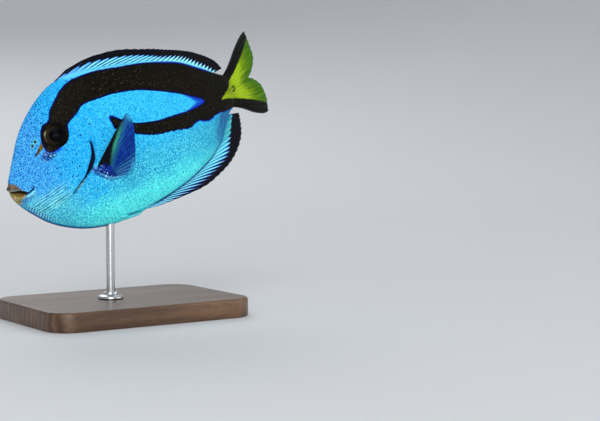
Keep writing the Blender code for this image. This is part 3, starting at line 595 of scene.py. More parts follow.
def skin(finish):
    """The whole body's skin, from the lips to the tail fin's root."""
    s, h, lens, hand, station = skin_grid()
    rise, marks = skin_relief(s, h, station)
    width = profile(HALF_WIDTH, s) * lens + orbit_relief(s, h) * np.minimum(1, 2 * lens)
    width *= 1 - 0.93 * ease(123.5, SKIN_END, s) ** 1.3
    base = bent(s, hand * width, h)
    outward = np.cross(np.gradient(base, axis=0), np.roll(base, -1, 1) - np.roll(base, 1, 1))
    outward /= np.maximum(np.linalg.norm(outward, axis=-1, keepdims=True), 1e-9)
    middle = bent(s, 0 * s, profile(WIDEST_LEVEL, s))
    outward *= np.sign(np.sum(outward * (base - middle), -1).mean())
    points = base + outward * rise[..., None]
    snout_tip = bent(0.0, 0, SNOUT_LEVEL) + outward[0].mean(0) * rise[0].mean()
    points = np.concatenate([points.reshape(-1, 3), [snout_tip, bent(SKIN_END + 0.05, 0, 0)]])

    def flat(found, snout=0.0, tail=0.0):
        return np.append(found.ravel(), [snout, tail])

    flat_s, flat_h = flat(s, 0, SKIN_END), flat(h, SNOUT_LEVEL, 0)
    values = skin_markings(flat_s, flat_h)
    values.update({key: flat(found, found[0].mean(), found[-1].mean()) for key, found in marks.items()})
    values["fish"] = np.stack([flat_s, flat(hand * width), flat_h], -1)
    values["flat"] = np.stack([flat_s, flat(girths(width, h)), 0 * flat_s], -1)
    faces = tube_faces(*s.shape, poles=s.size)
    nodes = ("head", "lower_jaw", "gill_cover_left", "gill_cover_right", "torso", "tail_stem")
    new_piece("skin", placed(points), faces, finish, nodes, values)


# Fins


@dataclass
class Fin:
    """How a fin is built, in millimetres.

    plan gives the s, side and h at a share of the base and a reach outwards, which is 0 at the skin and 1 at
    the edge. thick is each ray's radius at its root, and taper how much of it is lost by the edge. flesh is
    the membrane's half thickness, the root's, and the reach where the root's flesh ends. depth is how far the
    sheet goes into the body. span is where a ray starts and ends. notch and ragged cut the edge between and
    across the rays. extra gives the named values that only this fin's material reads.
    """

    name: str
    plan: object
    thick: list
    flesh: tuple
    depth: float
    per_ray: int
    rows: int
    taper: float = 0.62
    spines: int = 1
    span: tuple = (0.0, 1.0)
    notch: float = 0.02
    ragged: float = 0.0
    seed: int = 1
    extra: object = lambda s, h: {}
    slot: str = "fin_blue"


def membrane(fin, finish):
    """A thin closed sheet, with flesh at its root and notches in its edge between the rays."""
    last_ray = len(fin.thick) - 1
    shares = np.linspace(0, 1, last_ray * fin.per_ray + 1)
    reaches = np.concatenate([[-fin.depth, -fin.depth / 2], np.linspace(0, 1, fin.rows)])
    u, v = np.meshgrid(shares, reaches, indexing="ij")
    ray = u * last_ray
    torn = np.random.default_rng(fin.seed).random(last_ray + 3)
    fall = fin.notch * (np.abs(ray - np.round(ray)) * 2) ** 1.5
    fall += fin.ragged * np.interp(ray, range(len(torn)), torn)
    reach = v * (1 - fall * ease(0.2, 1.0, v))

    def point(du=0.0, dv=0.0):
        return bent(*fin.plan(u + du, reach + dv))

    step = 0.004
    out = np.cross(point(dv=step) - point(dv=-step), point(step) - point(-step))
    out /= np.maximum(np.linalg.norm(out, axis=-1, keepdims=True), 1e-9)
    thin, full, fades = fin.flesh
    out *= (thin + (full - thin) * ease(fades, -0.05, v) ** 1.5)[..., None]
    spot = np.arange(u.size).reshape(u.shape)
    rim = np.concatenate([spot[:, 0], spot[-1, 1:], spot[-2::-1, -1], spot[0, -2:0:-1]]).tolist()
    faces = grid_faces(*u.shape) + grid_faces(*u.shape, first=u.size)
    faces += [(a, b, b + u.size, a + u.size) for a, b in zip(rim, rim[1:] + rim[:1])]
    s, _, h = fin.plan(u, reach)
    values = {"ray": ray, "reach": reach, "share": u, **fin.extra(s, h)}
    values = {key: np.tile(np.ravel(found), 2) for key, found in values.items()}
    points = placed([point() + out, point() - out])
    new_piece(f"{fin.name}_membrane", points, faces, finish, [fin.name], values)


def ray_guide(fin):
    """Guide lines for the rays: one for each spine, and for each soft ray a stem that forks."""
    chance = np.random.default_rng(3)
    start, end = fin.span
    points, edges, values = [], [], []
    for i, thick in enumerate(fin.thick):
        strands = [(0.0, start, end, 1.0)]
        if i >= fin.spines:
            strands = [(0.0, start, 0.52, 1.0), (0.17, 0.5, end, 0.72), (-0.17, 0.5, end, 0.72)]
        for lean, low, high, share in strands:
            count = max(4, round(22 * (high - low)))
            v = np.linspace(low, high - (0.012 * chance.random() if high == end else 0), count)
            u = np.clip((i + lean * ease(low, high, v)) / (len(fin.thick) - 1), 0, 1)
            edges += [(k, k + 1) for k in range(len(points), len(points) + count - 1)]
            s, side, h = fin.plan(u, v)
            points.extend(bent(s, side, h))
            width = thick * share * (1 - fin.taper * np.clip(v, 0, 1))
            ray = np.full(count, float(i))
            values.append({"width": width, "ray": ray, "reach": v, "share": u, **fin.extra(s, h)})
    mesh = bpy.data.meshes.new(f"{fin.name}_lines")
    mesh.from_pydata(placed(points).tolist(), edges, [])
    name_values(mesh, {key: np.concatenate([found[key] for found in values]) for key in values[0]})
    return put_in(mesh.name, mesh)


def ray_tree():
    """Geometry Nodes: turns lines into tapered round rays."""
    tree = bpy.data.node_groups.new("tapered rays", "GeometryNodeTree")
    inputs = {"Lines": "Geometry", "Thickness": "Float", "Sides": "Int", "Finish": "Material"}
    for key, kind in inputs.items():
        tree.interface.new_socket(key, in_out="INPUT", socket_type=f"NodeSocket{kind}")
    tree.interface.new_socket("Rays", in_out="OUTPUT", socket_type="NodeSocketGeometry")
    given = node(tree, "NodeGroupInput")
    lines = node(tree, "GeometryNodeMeshToCurve", {"Mesh": given["Lines"]})
    width = node(tree, "GeometryNodeInputNamedAttribute", {"Name": "width"}, data_type="FLOAT")
    factors = {0: width["Attribute"], 1: given["Thickness"]}
    scaled = node(tree, "ShaderNodeMath", factors, operation="MULTIPLY")
    ring = node(tree, "GeometryNodeCurvePrimitiveCircle", {"Resolution": given["Sides"], "Radius": 1.0})
    swept = {"Curve": lines["Curve"], "Profile Curve": ring["Curve"], "Scale": scaled["Value"]}
    tube = node(tree, "GeometryNodeCurveToMesh", {**swept, "Fill Caps": True})
    smooth = node(tree, "GeometryNodeSetShadeSmooth", {"Geometry": tube["Mesh"]})
    real = node(tree, "GeometryNodeRealizeInstances", {"Geometry": smooth["Geometry"]})
    coated = {"Geometry": real["Geometry"], "Material": given["Finish"]}
    painted = node(tree, "GeometryNodeSetMaterial", coated)
    tree.links.new(painted["Geometry"], tree.nodes.new("NodeGroupOutput").inputs["Rays"])
    return tree


def grow_fin(fin, finish, tree):
    """A fin's membrane, and its rays as the plain mesh that the tree makes of their guide lines."""
    membrane(fin, finish)
    guide = ray_guide(fin)
    modifier = guide.modifiers.new("rays", "NODES")
    modifier.node_group = tree
    sockets = {i.name: i.identifier for i in tree.interface.items_tree if i.in_out == "INPUT"}
    for key, value in {"Thickness": MM, "Sides": 8, "Finish": finish}.items():
        modifier[sockets[key]] = value
    settled = guide.evaluated_get(bpy.context.evaluated_depsgraph_get())
    mesh = bpy.data.meshes.new_from_object(settled)
    mesh.name = f"{fin.name}_rays"
    bpy.data.objects.remove(guide)
    face_outwards(mesh)
    fitted(mesh, [fin.name])


def ripple(high, rate, first, u, v, power=1.5):
    """The slight wave of a fin's sheet, which grows outwards."""
    return high * np.sin(u * rate + first) * np.clip(v, 0, 1) ** power


def midline_fin(name, feet, edge, tips, sweep, black_edge, upward, wave, **sizes):
    """The dorsal or anal fin. Its rays leave the body swept back by a share of the base."""

    def plan(u, v):
        (s,) = read_at(feet, u)
        (root_s,) = read_at(feet, u - sweep * np.sin(math.pi * np.clip(u, 0, 1)))
        h, root_h = profile(edge, s), profile(edge, root_s)
        tip_s, tip_h = read_at(tips, u)
        out, deep = np.maximum(v, 0), np.minimum(v, 0)
        at_s, at_h = (
            root * (1 - out) ** 2 + 2 * foot * out * (1 - out) + tip * out**2 + (tip - foot) * deep
            for root, foot, tip in ((root_s, s, tip_s), (root_h, h, tip_h))
        )
        return at_s, ripple(*wave, u, v), at_h

    def extra(s, h):
        return {"past": (h - cubic(black_edge, s)) * upward, "root_mm": (h - profile(edge, s)) * upward}

    return Fin(name, plan, flesh=(0.13, 0.75, 0.4), depth=0.25, span=(-0.15, 1.0), extra=extra, **sizes)


def caudal_plan(u, v):
    """The tail fin: two lobes round a notch."""
    w = 2 * u - 1
    lobe = 1 - np.exp(-np.abs(w) / CAUDAL_NOTCH)
    corner = np.clip((np.abs(w) - 0.8) / 0.2, 0, 1) ** 2
    tip_s = CAUDAL_MIDDLE_TIP + (CAUDAL_LOBE_TIP - CAUDAL_MIDDLE_TIP) * lobe - CAUDAL_CORNER_CUT * corner
    reach = np.clip(v, 0, 1)
    spread = reach + (cubic(CAUDAL_SPREAD, reach) - reach) * np.minimum(1, np.abs(w))
    root_h = CAUDAL_ROOT_HEIGHT * w
    s, h = CAUDAL_ROOT + (tip_s - CAUDAL_ROOT) * v, root_h + (CAUDAL_TIP_HEIGHT * w - root_h) * spread
    return s, ripple(0.5, 15, 1.0, u, v, 2), h


def caudal_extra(s, h):
    """The markings' distances that the tail fin's material reads."""
    return {"yellow": depth_inside(YELLOW_WEDGE, s, h, 2.0), "blade_foot": from_blade_foot(s, h)}


def along_root(root, u):
    """The (s, h) at a share of a straight root line."""
    return (a + (b - a) * u for a, b in zip(*root))


def pectoral_plan(hand):
    """The side fin, which stands out from the body and fans upwards."""

    def plan(u, v):
        s, h = along_root(PECTORAL_ROOT, u)
        tip_s, tip_h, tip_out = read_at(PECTORAL_TIPS, u)
        out = half_width(s, h)
        flare = np.where(v < 0, 2.6 * v, np.abs(v) ** 1.04)
        side = out + (tip_out - out) * flare + ripple(0.35, 9, 0.5, u, v, 2)
        return s + (tip_s - s) * v, hand * side, h + (tip_h - h) * v

    return plan


def pelvic_plan(hand):
    """The belly fin, folded back along the belly."""

    def plan(u, v):
        s, h = along_root(PELVIC_ROOT, u)
        tip_s, tip_h = read_at(PELVIC_TIPS, u)
        s, h = s + (tip_s - s) * v, h + (tip_h - h) * v
        lifted = np.clip((v - 0.06) / 0.12, -1, 1)
        return s, hand * (np.maximum(half_width(s, h), 0.2) + PELVIC_STANDS_OFF * lifted), h

    return plan


def midline_fins():
    """The dorsal, anal and tail fins."""
    dorsal = [0.34] * DORSAL_SPINES + [0.27] * (DORSAL_RAYS - DORSAL_SPINES)
    anal = [0.34] * ANAL_SPINES + [0.28] * (ANAL_RAYS - ANAL_SPINES)
    caudal = [0.45] + [0.36] * (CAUDAL_RAYS - 2) + [0.45]
    return [
        midline_fin("dorsal_fin", DORSAL_FEET, BACK, DORSAL_TIPS, 0.0, DORSAL_BLACK_EDGE, 1, (0.5, 17, 0.6),
                    thick=dorsal, spines=DORSAL_SPINES, per_ray=7, rows=22),
        midline_fin("anal_fin", ANAL_FEET, BELLY, ANAL_TIPS, ANAL_SWEEP, ANAL_BLACK_EDGE, -1, (0.45, 13, 2.0),
                    thick=anal, spines=ANAL_SPINES, per_ray=8, rows=20),
        Fin("caudal_fin", caudal_plan, caudal, (0.13, 0.9, 0.34), 0.02, 12, 60, taper=0.7, spines=0,
            span=(0.08, 0.97), ragged=0.045, seed=8, extra=caudal_extra, slot="tail_yellow"),
    ]


def paired_fins(side_name, hand):
    """The side fin and the belly fin of one side."""
    pectoral = [0.46] + [0.28] * (PECTORAL_RAYS - 1)
    pelvic = [0.45] + [0.3] * (PELVIC_RAYS - 1)
    return [
        Fin(f"pectoral_fin_{side_name}", pectoral_plan(hand), pectoral, (0.06, 1.15, 0.28), 0.05, 10, 44,
            taper=0.6, span=(0.04, 0.8), notch=0.015, ragged=0.02, seed=5),
        Fin(f"pelvic_fin_{side_name}", pelvic_plan(hand), pelvic, (0.13, 0.6, 0.25), 0.1, 10, 36,
            taper=0.7, notch=0.05),
    ]


# Eyes, nostrils and tail spines


def turned(section, columns, centre, along, across, outward):
    """Rings of points round a line, from a section of (radius, height)."""
    radius, height = np.array(section).T[:, :, None, None]
    turn = turns(columns)[:, None]
    return centre + radius * (np.cos(turn) * along + np.sin(turn) * across) + height * outward


def eye(side_name, hand, finish):
    """The eyeball: a flattened ball with a slightly domed window over the pupil."""
    rows, columns = 54, 72
    section = []
    for tilt in [*np.linspace(0, math.pi, rows + 2)[1:-1], 0, math.pi]:
        radius = math.sin(tilt) * EYE_RADII[0]
        dome = WINDOW_DOME * bump(radius, 3.6) * (math.cos(tilt) > 0)
        section.append((radius, math.cos(tilt) * EYE_RADII[2] + dome))
    front = [(radius, float(height > -0.2)) for radius, height in section]
    poles = rows * columns
    kept = [*range(poles + 1), poles + columns]
    points = turned(section, columns, *skin_axes(*EYE, hand, -EYE_SUNK)).reshape(-1, 3)[kept]
    where = turned(front, columns, 0, *np.eye(3)).reshape(-1, 3)[kept]
    new_piece(f"eyeball_{side_name}", placed(points), tube_faces(rows, columns, poles=poles), finish,
              [f"eye_{side_name}"], {"iris_place": where})


def nostril_rims(finish):
    """A low ring round each nostril, with a dish inside that is painted dark as the shade in the nostril's
    hollow.
    """
    columns = 20
    section = [(0.05, -0.3), (0.48, -0.25), (0.64, 0.0), (0.71, 0.15), (0.8, 0.2), (0.93, 0.15), (1.08, 0.0),
               (1.22, -0.6)]
    rings, faces = [], []
    for hand in (-1, 1):
        for place in NOSTRILS:
            centre, along, across, outward = skin_axes(*place, hand)
            faces += tube_faces(len(section), columns, first=len(rings) * len(section) * columns)
            rings.append(turned(section, columns, centre, along, 1.15 * across, outward))
    # dark marks the dish, which is painted as the nostril's shade.
    dark = [float(radius < 0.68) for radius, _ in section]
    dark = np.tile(np.repeat(dark, columns), len(rings))
    new_piece("nostril_rims", placed(rings), faces, finish, values={"dark": dark})


def tail_spine(side_name, hand, finish):
    """The folded blade: a flat lancet that lies forwards in its groove."""
    columns, rows = 20, 26
    shares = np.linspace(0, 1, rows)
    points = []
    for share in shares:
        centre, _, across, outward = skin_axes(*along_root(TAIL_SPINE, share), hand)
        lift = -0.7 + 1.15 * ease(0, 0.45, share)
        wide = (0.35 + 0.65 * ease(0, 0.25, share)) * (1 - share) ** 0.75 + 0.03
        thick = 0.42 * (1 - share) ** 0.6 + 0.03
        for a in turns(columns):
            points.append(centre + (lift + thick * math.sin(a)) * outward + wide * math.cos(a) * across)
    new_piece(f"tail_blade_{side_name}", placed(points), tube_faces(rows, columns), finish,
              [f"tail_spine_{side_name}"], {"reach": np.repeat(shares, columns)})


# Stand


def display_base(finish):
    """The flat base: rounded corners, a soft upper edge and a small foot recess."""
    low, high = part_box("stand_base")
    half, centre, thick = (high - low) / 2, (low + high) / 2, high.z - low.z
    section = [(1.2 * MM, 0.0), (0.5 * MM, 0.1 * MM), (0.12 * MM, 0.45 * MM), (0.0, 1.1 * MM)]
    for a in np.linspace(0, math.pi / 2, 8):
        section.append((BASE_BEVEL * (1 - math.cos(a)), thick - BASE_BEVEL * (1 - math.sin(a))))
    section += [(4 * MM, thick), (20 * MM, thick), (30 * MM, thick)]
    points = []
    for inset, z in section:
        radius = max(BASE_CORNER - inset, 1.5 * MM)
        for quarter, (x, y) in enumerate(((1, 1), (-1, 1), (-1, -1), (1, -1))):
            for a in np.linspace(quarter, quarter + 1, CORNER_POINTS) * math.pi / 2:
                cx = centre.x + x * (half.x - inset - radius)
                cy = centre.y + y * (half.y - inset - radius)
                points.append((cx + radius * math.cos(a), cy + radius * math.sin(a), low.z + z))
    faces = tube_faces(len(section), 4 * CORNER_POINTS)
    new_piece("display_base", points, faces, finish, ["stand_base"], crisp=True)


def turned_steel(name, section, columns, finish, node_name):
    """An upright turned piece round a solid's middle, from a section of (radius, height), in metres."""
    low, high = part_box(node_name)
    points = turned(section, columns, ((low.x + high.x) / 2, (low.y + high.y) / 2, 0), *np.eye(3))
    new_piece(name, points, tube_faces(len(section), columns), finish, [node_name], crisp=True)


def display_rod(finish):
    """The upright rod, with its two ends bevelled."""
    low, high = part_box("stand_rod")
    r = (high.x - low.x) / 2
    section = [(0.6 * r, low.z), (r, low.z + 0.4 * MM), (r, (low.z + high.z) / 2), (r, high.z - 0.5 * MM),
               (0.6 * r, high.z)]
    turned_steel("display_rod", section, 64, finish, "stand_rod")


def display_collar(finish):
    """The collar: a stepped ring with softened edges that stops at the rod."""
    low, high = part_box("stand_collar")
    rod_low, rod_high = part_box("stand_rod")
    inner = (rod_high.x - rod_low.x) / 2 + 0.05 * MM
    outer, tall = (high.x - low.x) / 2, high.z - low.z
    steps = [(0.97, 0), (1, 0.05), (1, 0.28), (0.985, 0.34), (0.94, 0.4), (0.86, 0.46), (0.72, 0.53),
             (0.64, 0.6), (0.6, 0.7), (0.58, 0.86), (0.565, 0.95), (0.53, 1.0)]
    section = [(inner, low.z)] + [(outer * r, low.z + tall * z) for r, z in steps] + [(inner, high.z)]
    turned_steel("display_collar", section, 72, finish, "stand_collar")


# Materials


class Value:
    """What a shader node puts out. Sums and products of values are written as plain ones."""

    def __init__(self, socket):
        self.socket = socket
        self.tree = socket.id_data

    def math(self, operation, *others, clamp=False):
        given = dict(enumerate((self, *others)))
        return Value(node(self.tree, "ShaderNodeMath", given, operation=operation, use_clamp=clamp)[0])

    def __add__(self, other):
        return self.math("ADD", other)

    def __sub__(self, other):
        return self.math("SUBTRACT", other)

    def __rsub__(self, other):
        return self.math("MULTIPLY_ADD", -1.0, other)

    def __mul__(self, other):
        return self.math("MULTIPLY", other)

    def __truediv__(self, other):
        return self.math("DIVIDE", other)

    def __rtruediv__(self, other):
        return Value(node(self.tree, "ShaderNodeMath", {0: other, 1: self}, operation="DIVIDE")[0])

    def __abs__(self):
        return self.math("ABSOLUTE")

    __radd__ = __add__
    __rmul__ = __mul__


def feed(socket, value):
    """Links a value to a socket, or sets it there."""
    if isinstance(value, Value):
        value = value.socket
    if isinstance(value, bpy.types.NodeSocket):
        socket.id_data.links.new(value, socket)
    else:
        socket.default_value = (*value, 1.0) if socket.type == "RGBA" else value


def node(tree, kind, inputs=None, **settings):
    """A new node's outputs, with its settings made and its inputs linked or set."""
    made = tree.nodes.new(kind)
    for key, value in settings.items():
        setattr(made, key, value)
    for key, value in (inputs or {}).items():
        feed(made.inputs[key], value)
    return made.outputs


def fade(value, start, end):
    """0 before start, 1 past end, and smooth between them. start may be the greater one."""
    given = {"Value": value, "From Min": start, "From Max": end}
    return Value(node(value.tree, "ShaderNodeMapRange", given, interpolation_type="SMOOTHSTEP")[0])


def between(value, start, full, falls, end):
    """1 from full to falls, and fading out to 0 at start and at end."""
    return fade(value, start, full) * fade(value, end, falls)


def stripe(value, middle, half):
    """1 where a value is near middle, and 0 past half away from it."""
    return fade(abs(value - middle), half, half * 0.35)


def blend(mask, below, above):
    """One colour with another over it, where the mask says so."""
    return Value(node(mask.tree, "ShaderNodeMix", {0: mask, 6: below, 7: above}, data_type="RGBA")[2])


def grain(place, scale, detail=2.0, roughness=0.5, dims="3D"):
    """Soft noise at a place."""
    given = {"Vector": place, "Scale": scale, "Detail": detail, "Roughness": roughness}
    return Value(node(place.tree, "ShaderNodeTexNoise", given, noise_dimensions=dims)["Fac"])


def cells(place, scale, randomness=1):
    """The distance to each cell's middle, and two chances that each cell has."""
    given = {"Vector": place, "Scale": scale, "Randomness": randomness}
    found = node(place.tree, "ShaderNodeTexVoronoi", given, voronoi_dimensions="2D")
    chances = node(place.tree, "ShaderNodeSeparateColor", {"Color": found["Color"]})
    return Value(found["Distance"]), Value(chances[0]), Value(chances[1])


def parts(place):
    """A place's three values."""
    return [Value(socket) for socket in node(place.tree, "ShaderNodeSeparateXYZ", {"Vector": place})]


def joined(x, y):
    """A flat place from two values."""
    return Value(node(x.tree, "ShaderNodeCombineXYZ", {"X": x, "Y": y})[0])


def stretched(place, scale, turn=(0, 0, 0)):
    """A place scaled, and turned, before a pattern reads it."""
    given = {"Vector": place, "Scale": scale, "Rotation": turn}
    return Value(node(place.tree, "ShaderNodeMapping", given)[0])


def effect(name, inputs, work):
    """A shared shader group. work takes the group's inputs and gives its named outputs."""
    tree = bpy.data.node_groups.new(name, "ShaderNodeTree")
    for key in inputs:
        kind = "Vector" if key == "Place" else "Float"
        tree.interface.new_socket(key, in_out="INPUT", socket_type=f"NodeSocket{kind}")
    given = tree.nodes.new("NodeGroupInput").outputs
    found = work(*(Value(given[key]) for key in inputs))
    for key in found:
        tree.interface.new_socket(key, in_out="OUTPUT", socket_type="NodeSocketFloat")
    made = tree.nodes.new("NodeGroupOutput").inputs
    for key, value in found.items():
        feed(made[key], value)
    return tree


def tiny_scales(place, density):
    """A raised pebble for each scale, and a light or dark tint for each."""
    away, tone, _ = cells(place, density)
    domed = 1 - away
    soft = grain(place, 3.0, 3.0, dims="2D")
    return {"Height": domed, "Tint": tone * 0.62 + domed * 0.3 + (soft - 0.5) * 0.5}


def scattered_flecks(place, density, size, share):
    """Small spots scattered over a surface, as many as the share says."""
    away, _, chance = cells(place, density, 0.75)
    near = size * (0.65 + chance * 0.7) - away
    return {"Flecks": fade(near, 0.0, 0.14) * chance.math("LESS_THAN", share)}


def off_ray(ray):
    """How far a place lies from the nearest ray, in spaces between rays."""
    return abs(ray - ray.math("ROUND"))


def fin_rays(ray, reach, width, joints):
    """A mask along each ray and its short joints, from the ray count's running value."""
    phase = off_ray(ray)
    line = fade(phase / width, 1, 0.55)
    raised = line * (0.8 + (reach * joints).math("SINE") * 0.2)
    return {"Line": line, "Height": raised, "Phase": phase * 2.0}


def margin_teeth(ray, past, length, thin):
    """A fin's dark margin, which runs inwards along each ray as a tapering tooth."""
    taper = (past / length).math("ADD", 1.0, clamp=True).math("POWER", 1.2)
    beside = thin + taper * 0.52 - off_ray(ray)
    dark = fade(beside, -0.05, 0.05).math("MAXIMUM", fade(past, 0.0, 0.9))
    return {"Dark": dark, "Fringe": fade(beside, -0.2, 0.0)}


def blade_ring(away):
    """The dark ring where the tail blade's foot lies, from the distance to the foot."""
    return {"Ring": stripe(away, 0.95, 0.7), "Inside": fade(away, 1.0, 0.5)}


class Finish:
    """A material while its colours are laid over each other."""

    def __init__(self, name, roughness, metallic=0, specular=0.5, coat=0, coat_roughness=0.1):
        self.made = bpy.data.materials.new(name)
        self.made.use_nodes = True
        self.tree = self.made.node_tree
        self.shader = self.tree.nodes["Principled BSDF"].inputs
        self.shader["Roughness"].default_value = roughness
        self.shader["Metallic"].default_value = metallic
        self.shader["Specular IOR Level"].default_value = specular
        self.shader["Coat Weight"].default_value = coat
        self.shader["Coat Roughness"].default_value = coat_roughness

    def named(self, key, kind="Fac"):
        """A named value of the mesh."""
        return Value(node(self.tree, "ShaderNodeAttribute", attribute_name=key)[kind])

    def place(self):
        return Value(node(self.tree, "ShaderNodeTexCoord")["Object"])

    def use(self, group, **inputs):
        """A shared group's outputs in this material, by name."""
        found = node(self.tree, "ShaderNodeGroup", inputs, node_tree=group)
        return {socket.name: Value(socket) for socket in found}

    def rays(self, group, width, joints):
        return self.use(group, Ray=self.named("ray"), Reach=self.named("reach"), Width=width, Joints=joints)

    def lay(self, mask, colour):
        """Lays a colour over those so far, where the mask says so."""
        self.colour = blend(mask, self.colour, colour)

    def done(self, height=None, distance=0, strength=1, **linked):
        """The finished material, with its surface raised and any further inputs linked by name."""
        feed(self.shader["Base Color"], self.colour)
        for key, value in linked.items():
            feed(self.shader[key], value)
        if height:
            given = {"Height": height, "Distance": distance, "Strength": strength}
            feed(self.shader["Normal"], node(self.tree, "ShaderNodeBump", given)["Normal"])
        return self.made


def skin_finish(scales, flecks, ring):
    """The skin: blues, spots, the black bands, the yellow wedge, then a painted highlight along the gill slit
    and painted shade in the creases, in that order.
    """
    look = Finish("tang_skin", 0.46, specular=0.045)
    fish, flat = look.named("fish", "Vector"), look.named("flat", "Vector")
    s, _, h = parts(fish)
    fine = grain(fish, 0.9, 4, 0.6)

    def spots(density, size, share):
        return look.use(flecks, Place=flat, Density=density, Size=size, Share=share)["Flecks"]

    ground_colours(look, s, h, fish)
    low = fade(h, 3, -14)
    scale = look.use(scales, Place=stretched(flat, (1.2, 0.9, 1)), Density=SCALES_PER_MM)
    tint = scale["Tint"]
    look.lay(fade(tint, 0.5, 0.85) * (0.5 + low * 0.35), blend(low, (0.16, 0.82, 1), (0.22, 1, 1)))
    look.lay(fade(tint, 0.5, 0.15) * 0.7, blend(low, (0.004, 0.19, 0.62), (0.008, 0.25, 0.5)))
    head_spots(look, s, h, spots)
    throat_lines(look, s, h, fine)
    under_eye(look, s, h, flat)
    back_rays(look, s)
    rear_shade(look, s, h, fine)
    mouth_colours(look, s, fine)
    # The streak's front end, where it runs into the eye's furrow, is painted near black as the furrow's
    # shade.
    amber = blend(fade(s, 15.3, 16.6), (0.016, 0.012, 0.008), (0.24, 0.15, 0.01))
    amber = blend(fade(s, 18.2, 20.2), amber, (0.11, 0.12, 0.01))
    amber = blend(fade(fine, 0.4, 0.65) * 0.6, amber, (0.1, 0.085, 0.012))
    look.lay(fade(look.named("streak"), -0.2, 0.2), amber)
    fin_root(look, flat)
    bands(look, s, h, fish, fine, spots, ring)
    # Painted highlight: a pale streak along the gill slit's lower edge.
    slit_highlight_colour = blend(fade(fine, 0.4, 0.6), (0.1, 0.16, 0.06), (0.5, 0.85, 0.62))
    look.lay(fade(look.named("gill_slit_highlight"), 0.3, 0.9), slit_highlight_colour)
    # Painted shade: the gill slit and the eye's furrow are painted near black, as the shade in their grooves.
    look.lay(fade(look.named("crease_shade"), 0.25, 0.8), (0.003, 0.006, 0.03))
    return look.done(scale["Height"] * 0.7 + fine * 0.5, 0.12 * MM, 0.5, Roughness=0.36 + tint * 0.22)


def ground_colours(look, s, h, fish):
    """The blue under the markings: deepest on the forehead, palest along the belly."""
    level = h + (grain(fish, 0.09, 3) - 0.5) * 9
    look.colour = blend(fade(s, 14, 30), FOREHEAD_BLUE, CHEEK_BLUE)
    look.lay(fade(s, 37, 52), OVAL_BLUE)
    look.lay(fade(level, 5, -11) * fade(s, 34, 52), FLANK_CYAN)
    look.lay(fade(level, -4, -14) * fade(s, 36, 20), THROAT_GREY)
    look.lay(fade(level, -15, -26) * fade(s, 16, 34), BELLY_CYAN)


def head_spots(look, s, h, spots):
    """Close dark spots over the snout and forehead, and a few larger ones over the cheek and nape."""
    close = fade(s - h * 0.35, 33, 9) * fade(h, -9, -3)
    look.lay(spots(NET_PER_MM, 0.34, 0.95) * close * 0.85, (0.004, 0.07, 0.42))
    faint = between(s, 6, 16, 30, 44)
    look.lay(spots(FLECKS_PER_MM, 0.26, 0.8) * faint * 0.55, (0.004, 0.14, 0.56))
    strewn = between(s, 16, 26, 44, 52) * fade(h, -12, -6)
    strewn = strewn.math("MAXIMUM", stripe(s, 62.0, 9.0) * stripe(h, -14.5, 7.0))
    look.lay(spots(DOTS_PER_MM, 0.2, 0.55) * strewn * 0.9, (0.002, 0.02, 0.2))


def throat_lines(look, s, h, fine):
    """Uneven light and dark lines from the jaw back under the cheek, short bars under the chin, and painted
    shade along the underside of the throat and the belly's keel.
    """
    across = h - s * 0.3
    sway = (grain(joined(s * 0.16, across * 0.9), 1.0, 3.0, 0.6, dims="2D") - 0.5) * 9.0
    strands = (across * 5.0 + sway).math("SINE")
    strip = stripe(across, -16.2, 6) * between(s, 5.5, 9, 17, 28) * fade(fine, 0.3, 0.45)
    look.lay(fade(strands, 0.3, 0.85) * strip * 0.75, (0.42, 1, 1))
    look.lay(fade(strands, -0.3, -0.85) * strip * 0.62, (0.004, 0.07, 0.19))

    keel = look.named("keel")
    chin = between(s, 3.5, 6, 11, 16) * stripe(keel, 2.6, 2.6)
    bars = ((s - h * 0.45) * 4.6).math("SINE")
    look.lay(fade(bars, 0.2, 0.8) * chin * 0.7, (0.25, 0.62, 0.9))
    look.lay(fade(bars, -0.2, -0.8) * chin * 0.8, (0.004, 0.02, 0.22))
    # Painted shade along the underside: navy under the throat, and a darker line along the belly's keel.
    look.lay(fade(keel, 2, 0.5) * fade(s, 2, 5) * fade(s, 43, 36) * 0.85, (0.004, 0.022, 0.3))
    look.lay(fade(keel, 0.9, 0.2) * fade(s, 48, 52) * fade(s, 114, 104) * 0.8, (0.003, 0.06, 0.2))


def under_eye(look, s, h, flat):
    """Dark loops with lilac and pale spots between them, on the rim under the eye."""
    ds, dh = s - UNDER_EYE[0], h - UNDER_EYE[1]
    level = dh - ds * 0.2
    zone = fade((ds * ds * 0.42 + level * level).math("SQRT"), 3.1, 1.4)
    _, tone, _ = cells(flat, LOOPS_PER_MM)
    ground = blend(fade(tone, 0.3, 0.4), (0.012, 0.09, 0.55), (0.15, 0.22, 0.68))
    look.lay(zone * 0.75, blend(fade(tone, 0.66, 0.7), ground, (0.16, 0.5, 0.66)))
    given = {"Vector": flat, "Scale": LOOPS_PER_MM}
    edges = {"feature": "DISTANCE_TO_EDGE", "voronoi_dimensions": "2D"}
    loops = Value(node(look.tree, "ShaderNodeTexVoronoi", given, **edges)["Distance"])
    look.lay(fade(loops, 0.22, 0.08) * zone * 0.95, (0.003, 0.007, 0.06))
    look.lay(stripe(s, 26.2, 2.6) * stripe(h - s * 0.35, 1.2, 1.6) * 0.8, (0.004, 0.05, 0.7))


def back_rays(look, s):
    """The pale strip beside the back fin's base, where the fin's dark rays start."""
    below = look.named("below_fin")
    look.lay(fade(below, 2.6, 0.8) * 0.85, STRIP_CYAN)
    line = fade(off_ray(look.named("ray")), 0.11, 0.05) * fade(below, 1.5, 0.2) * fade(s, 46, 52)
    look.lay(line * 0.8, (0.004, 0.045, 0.2))


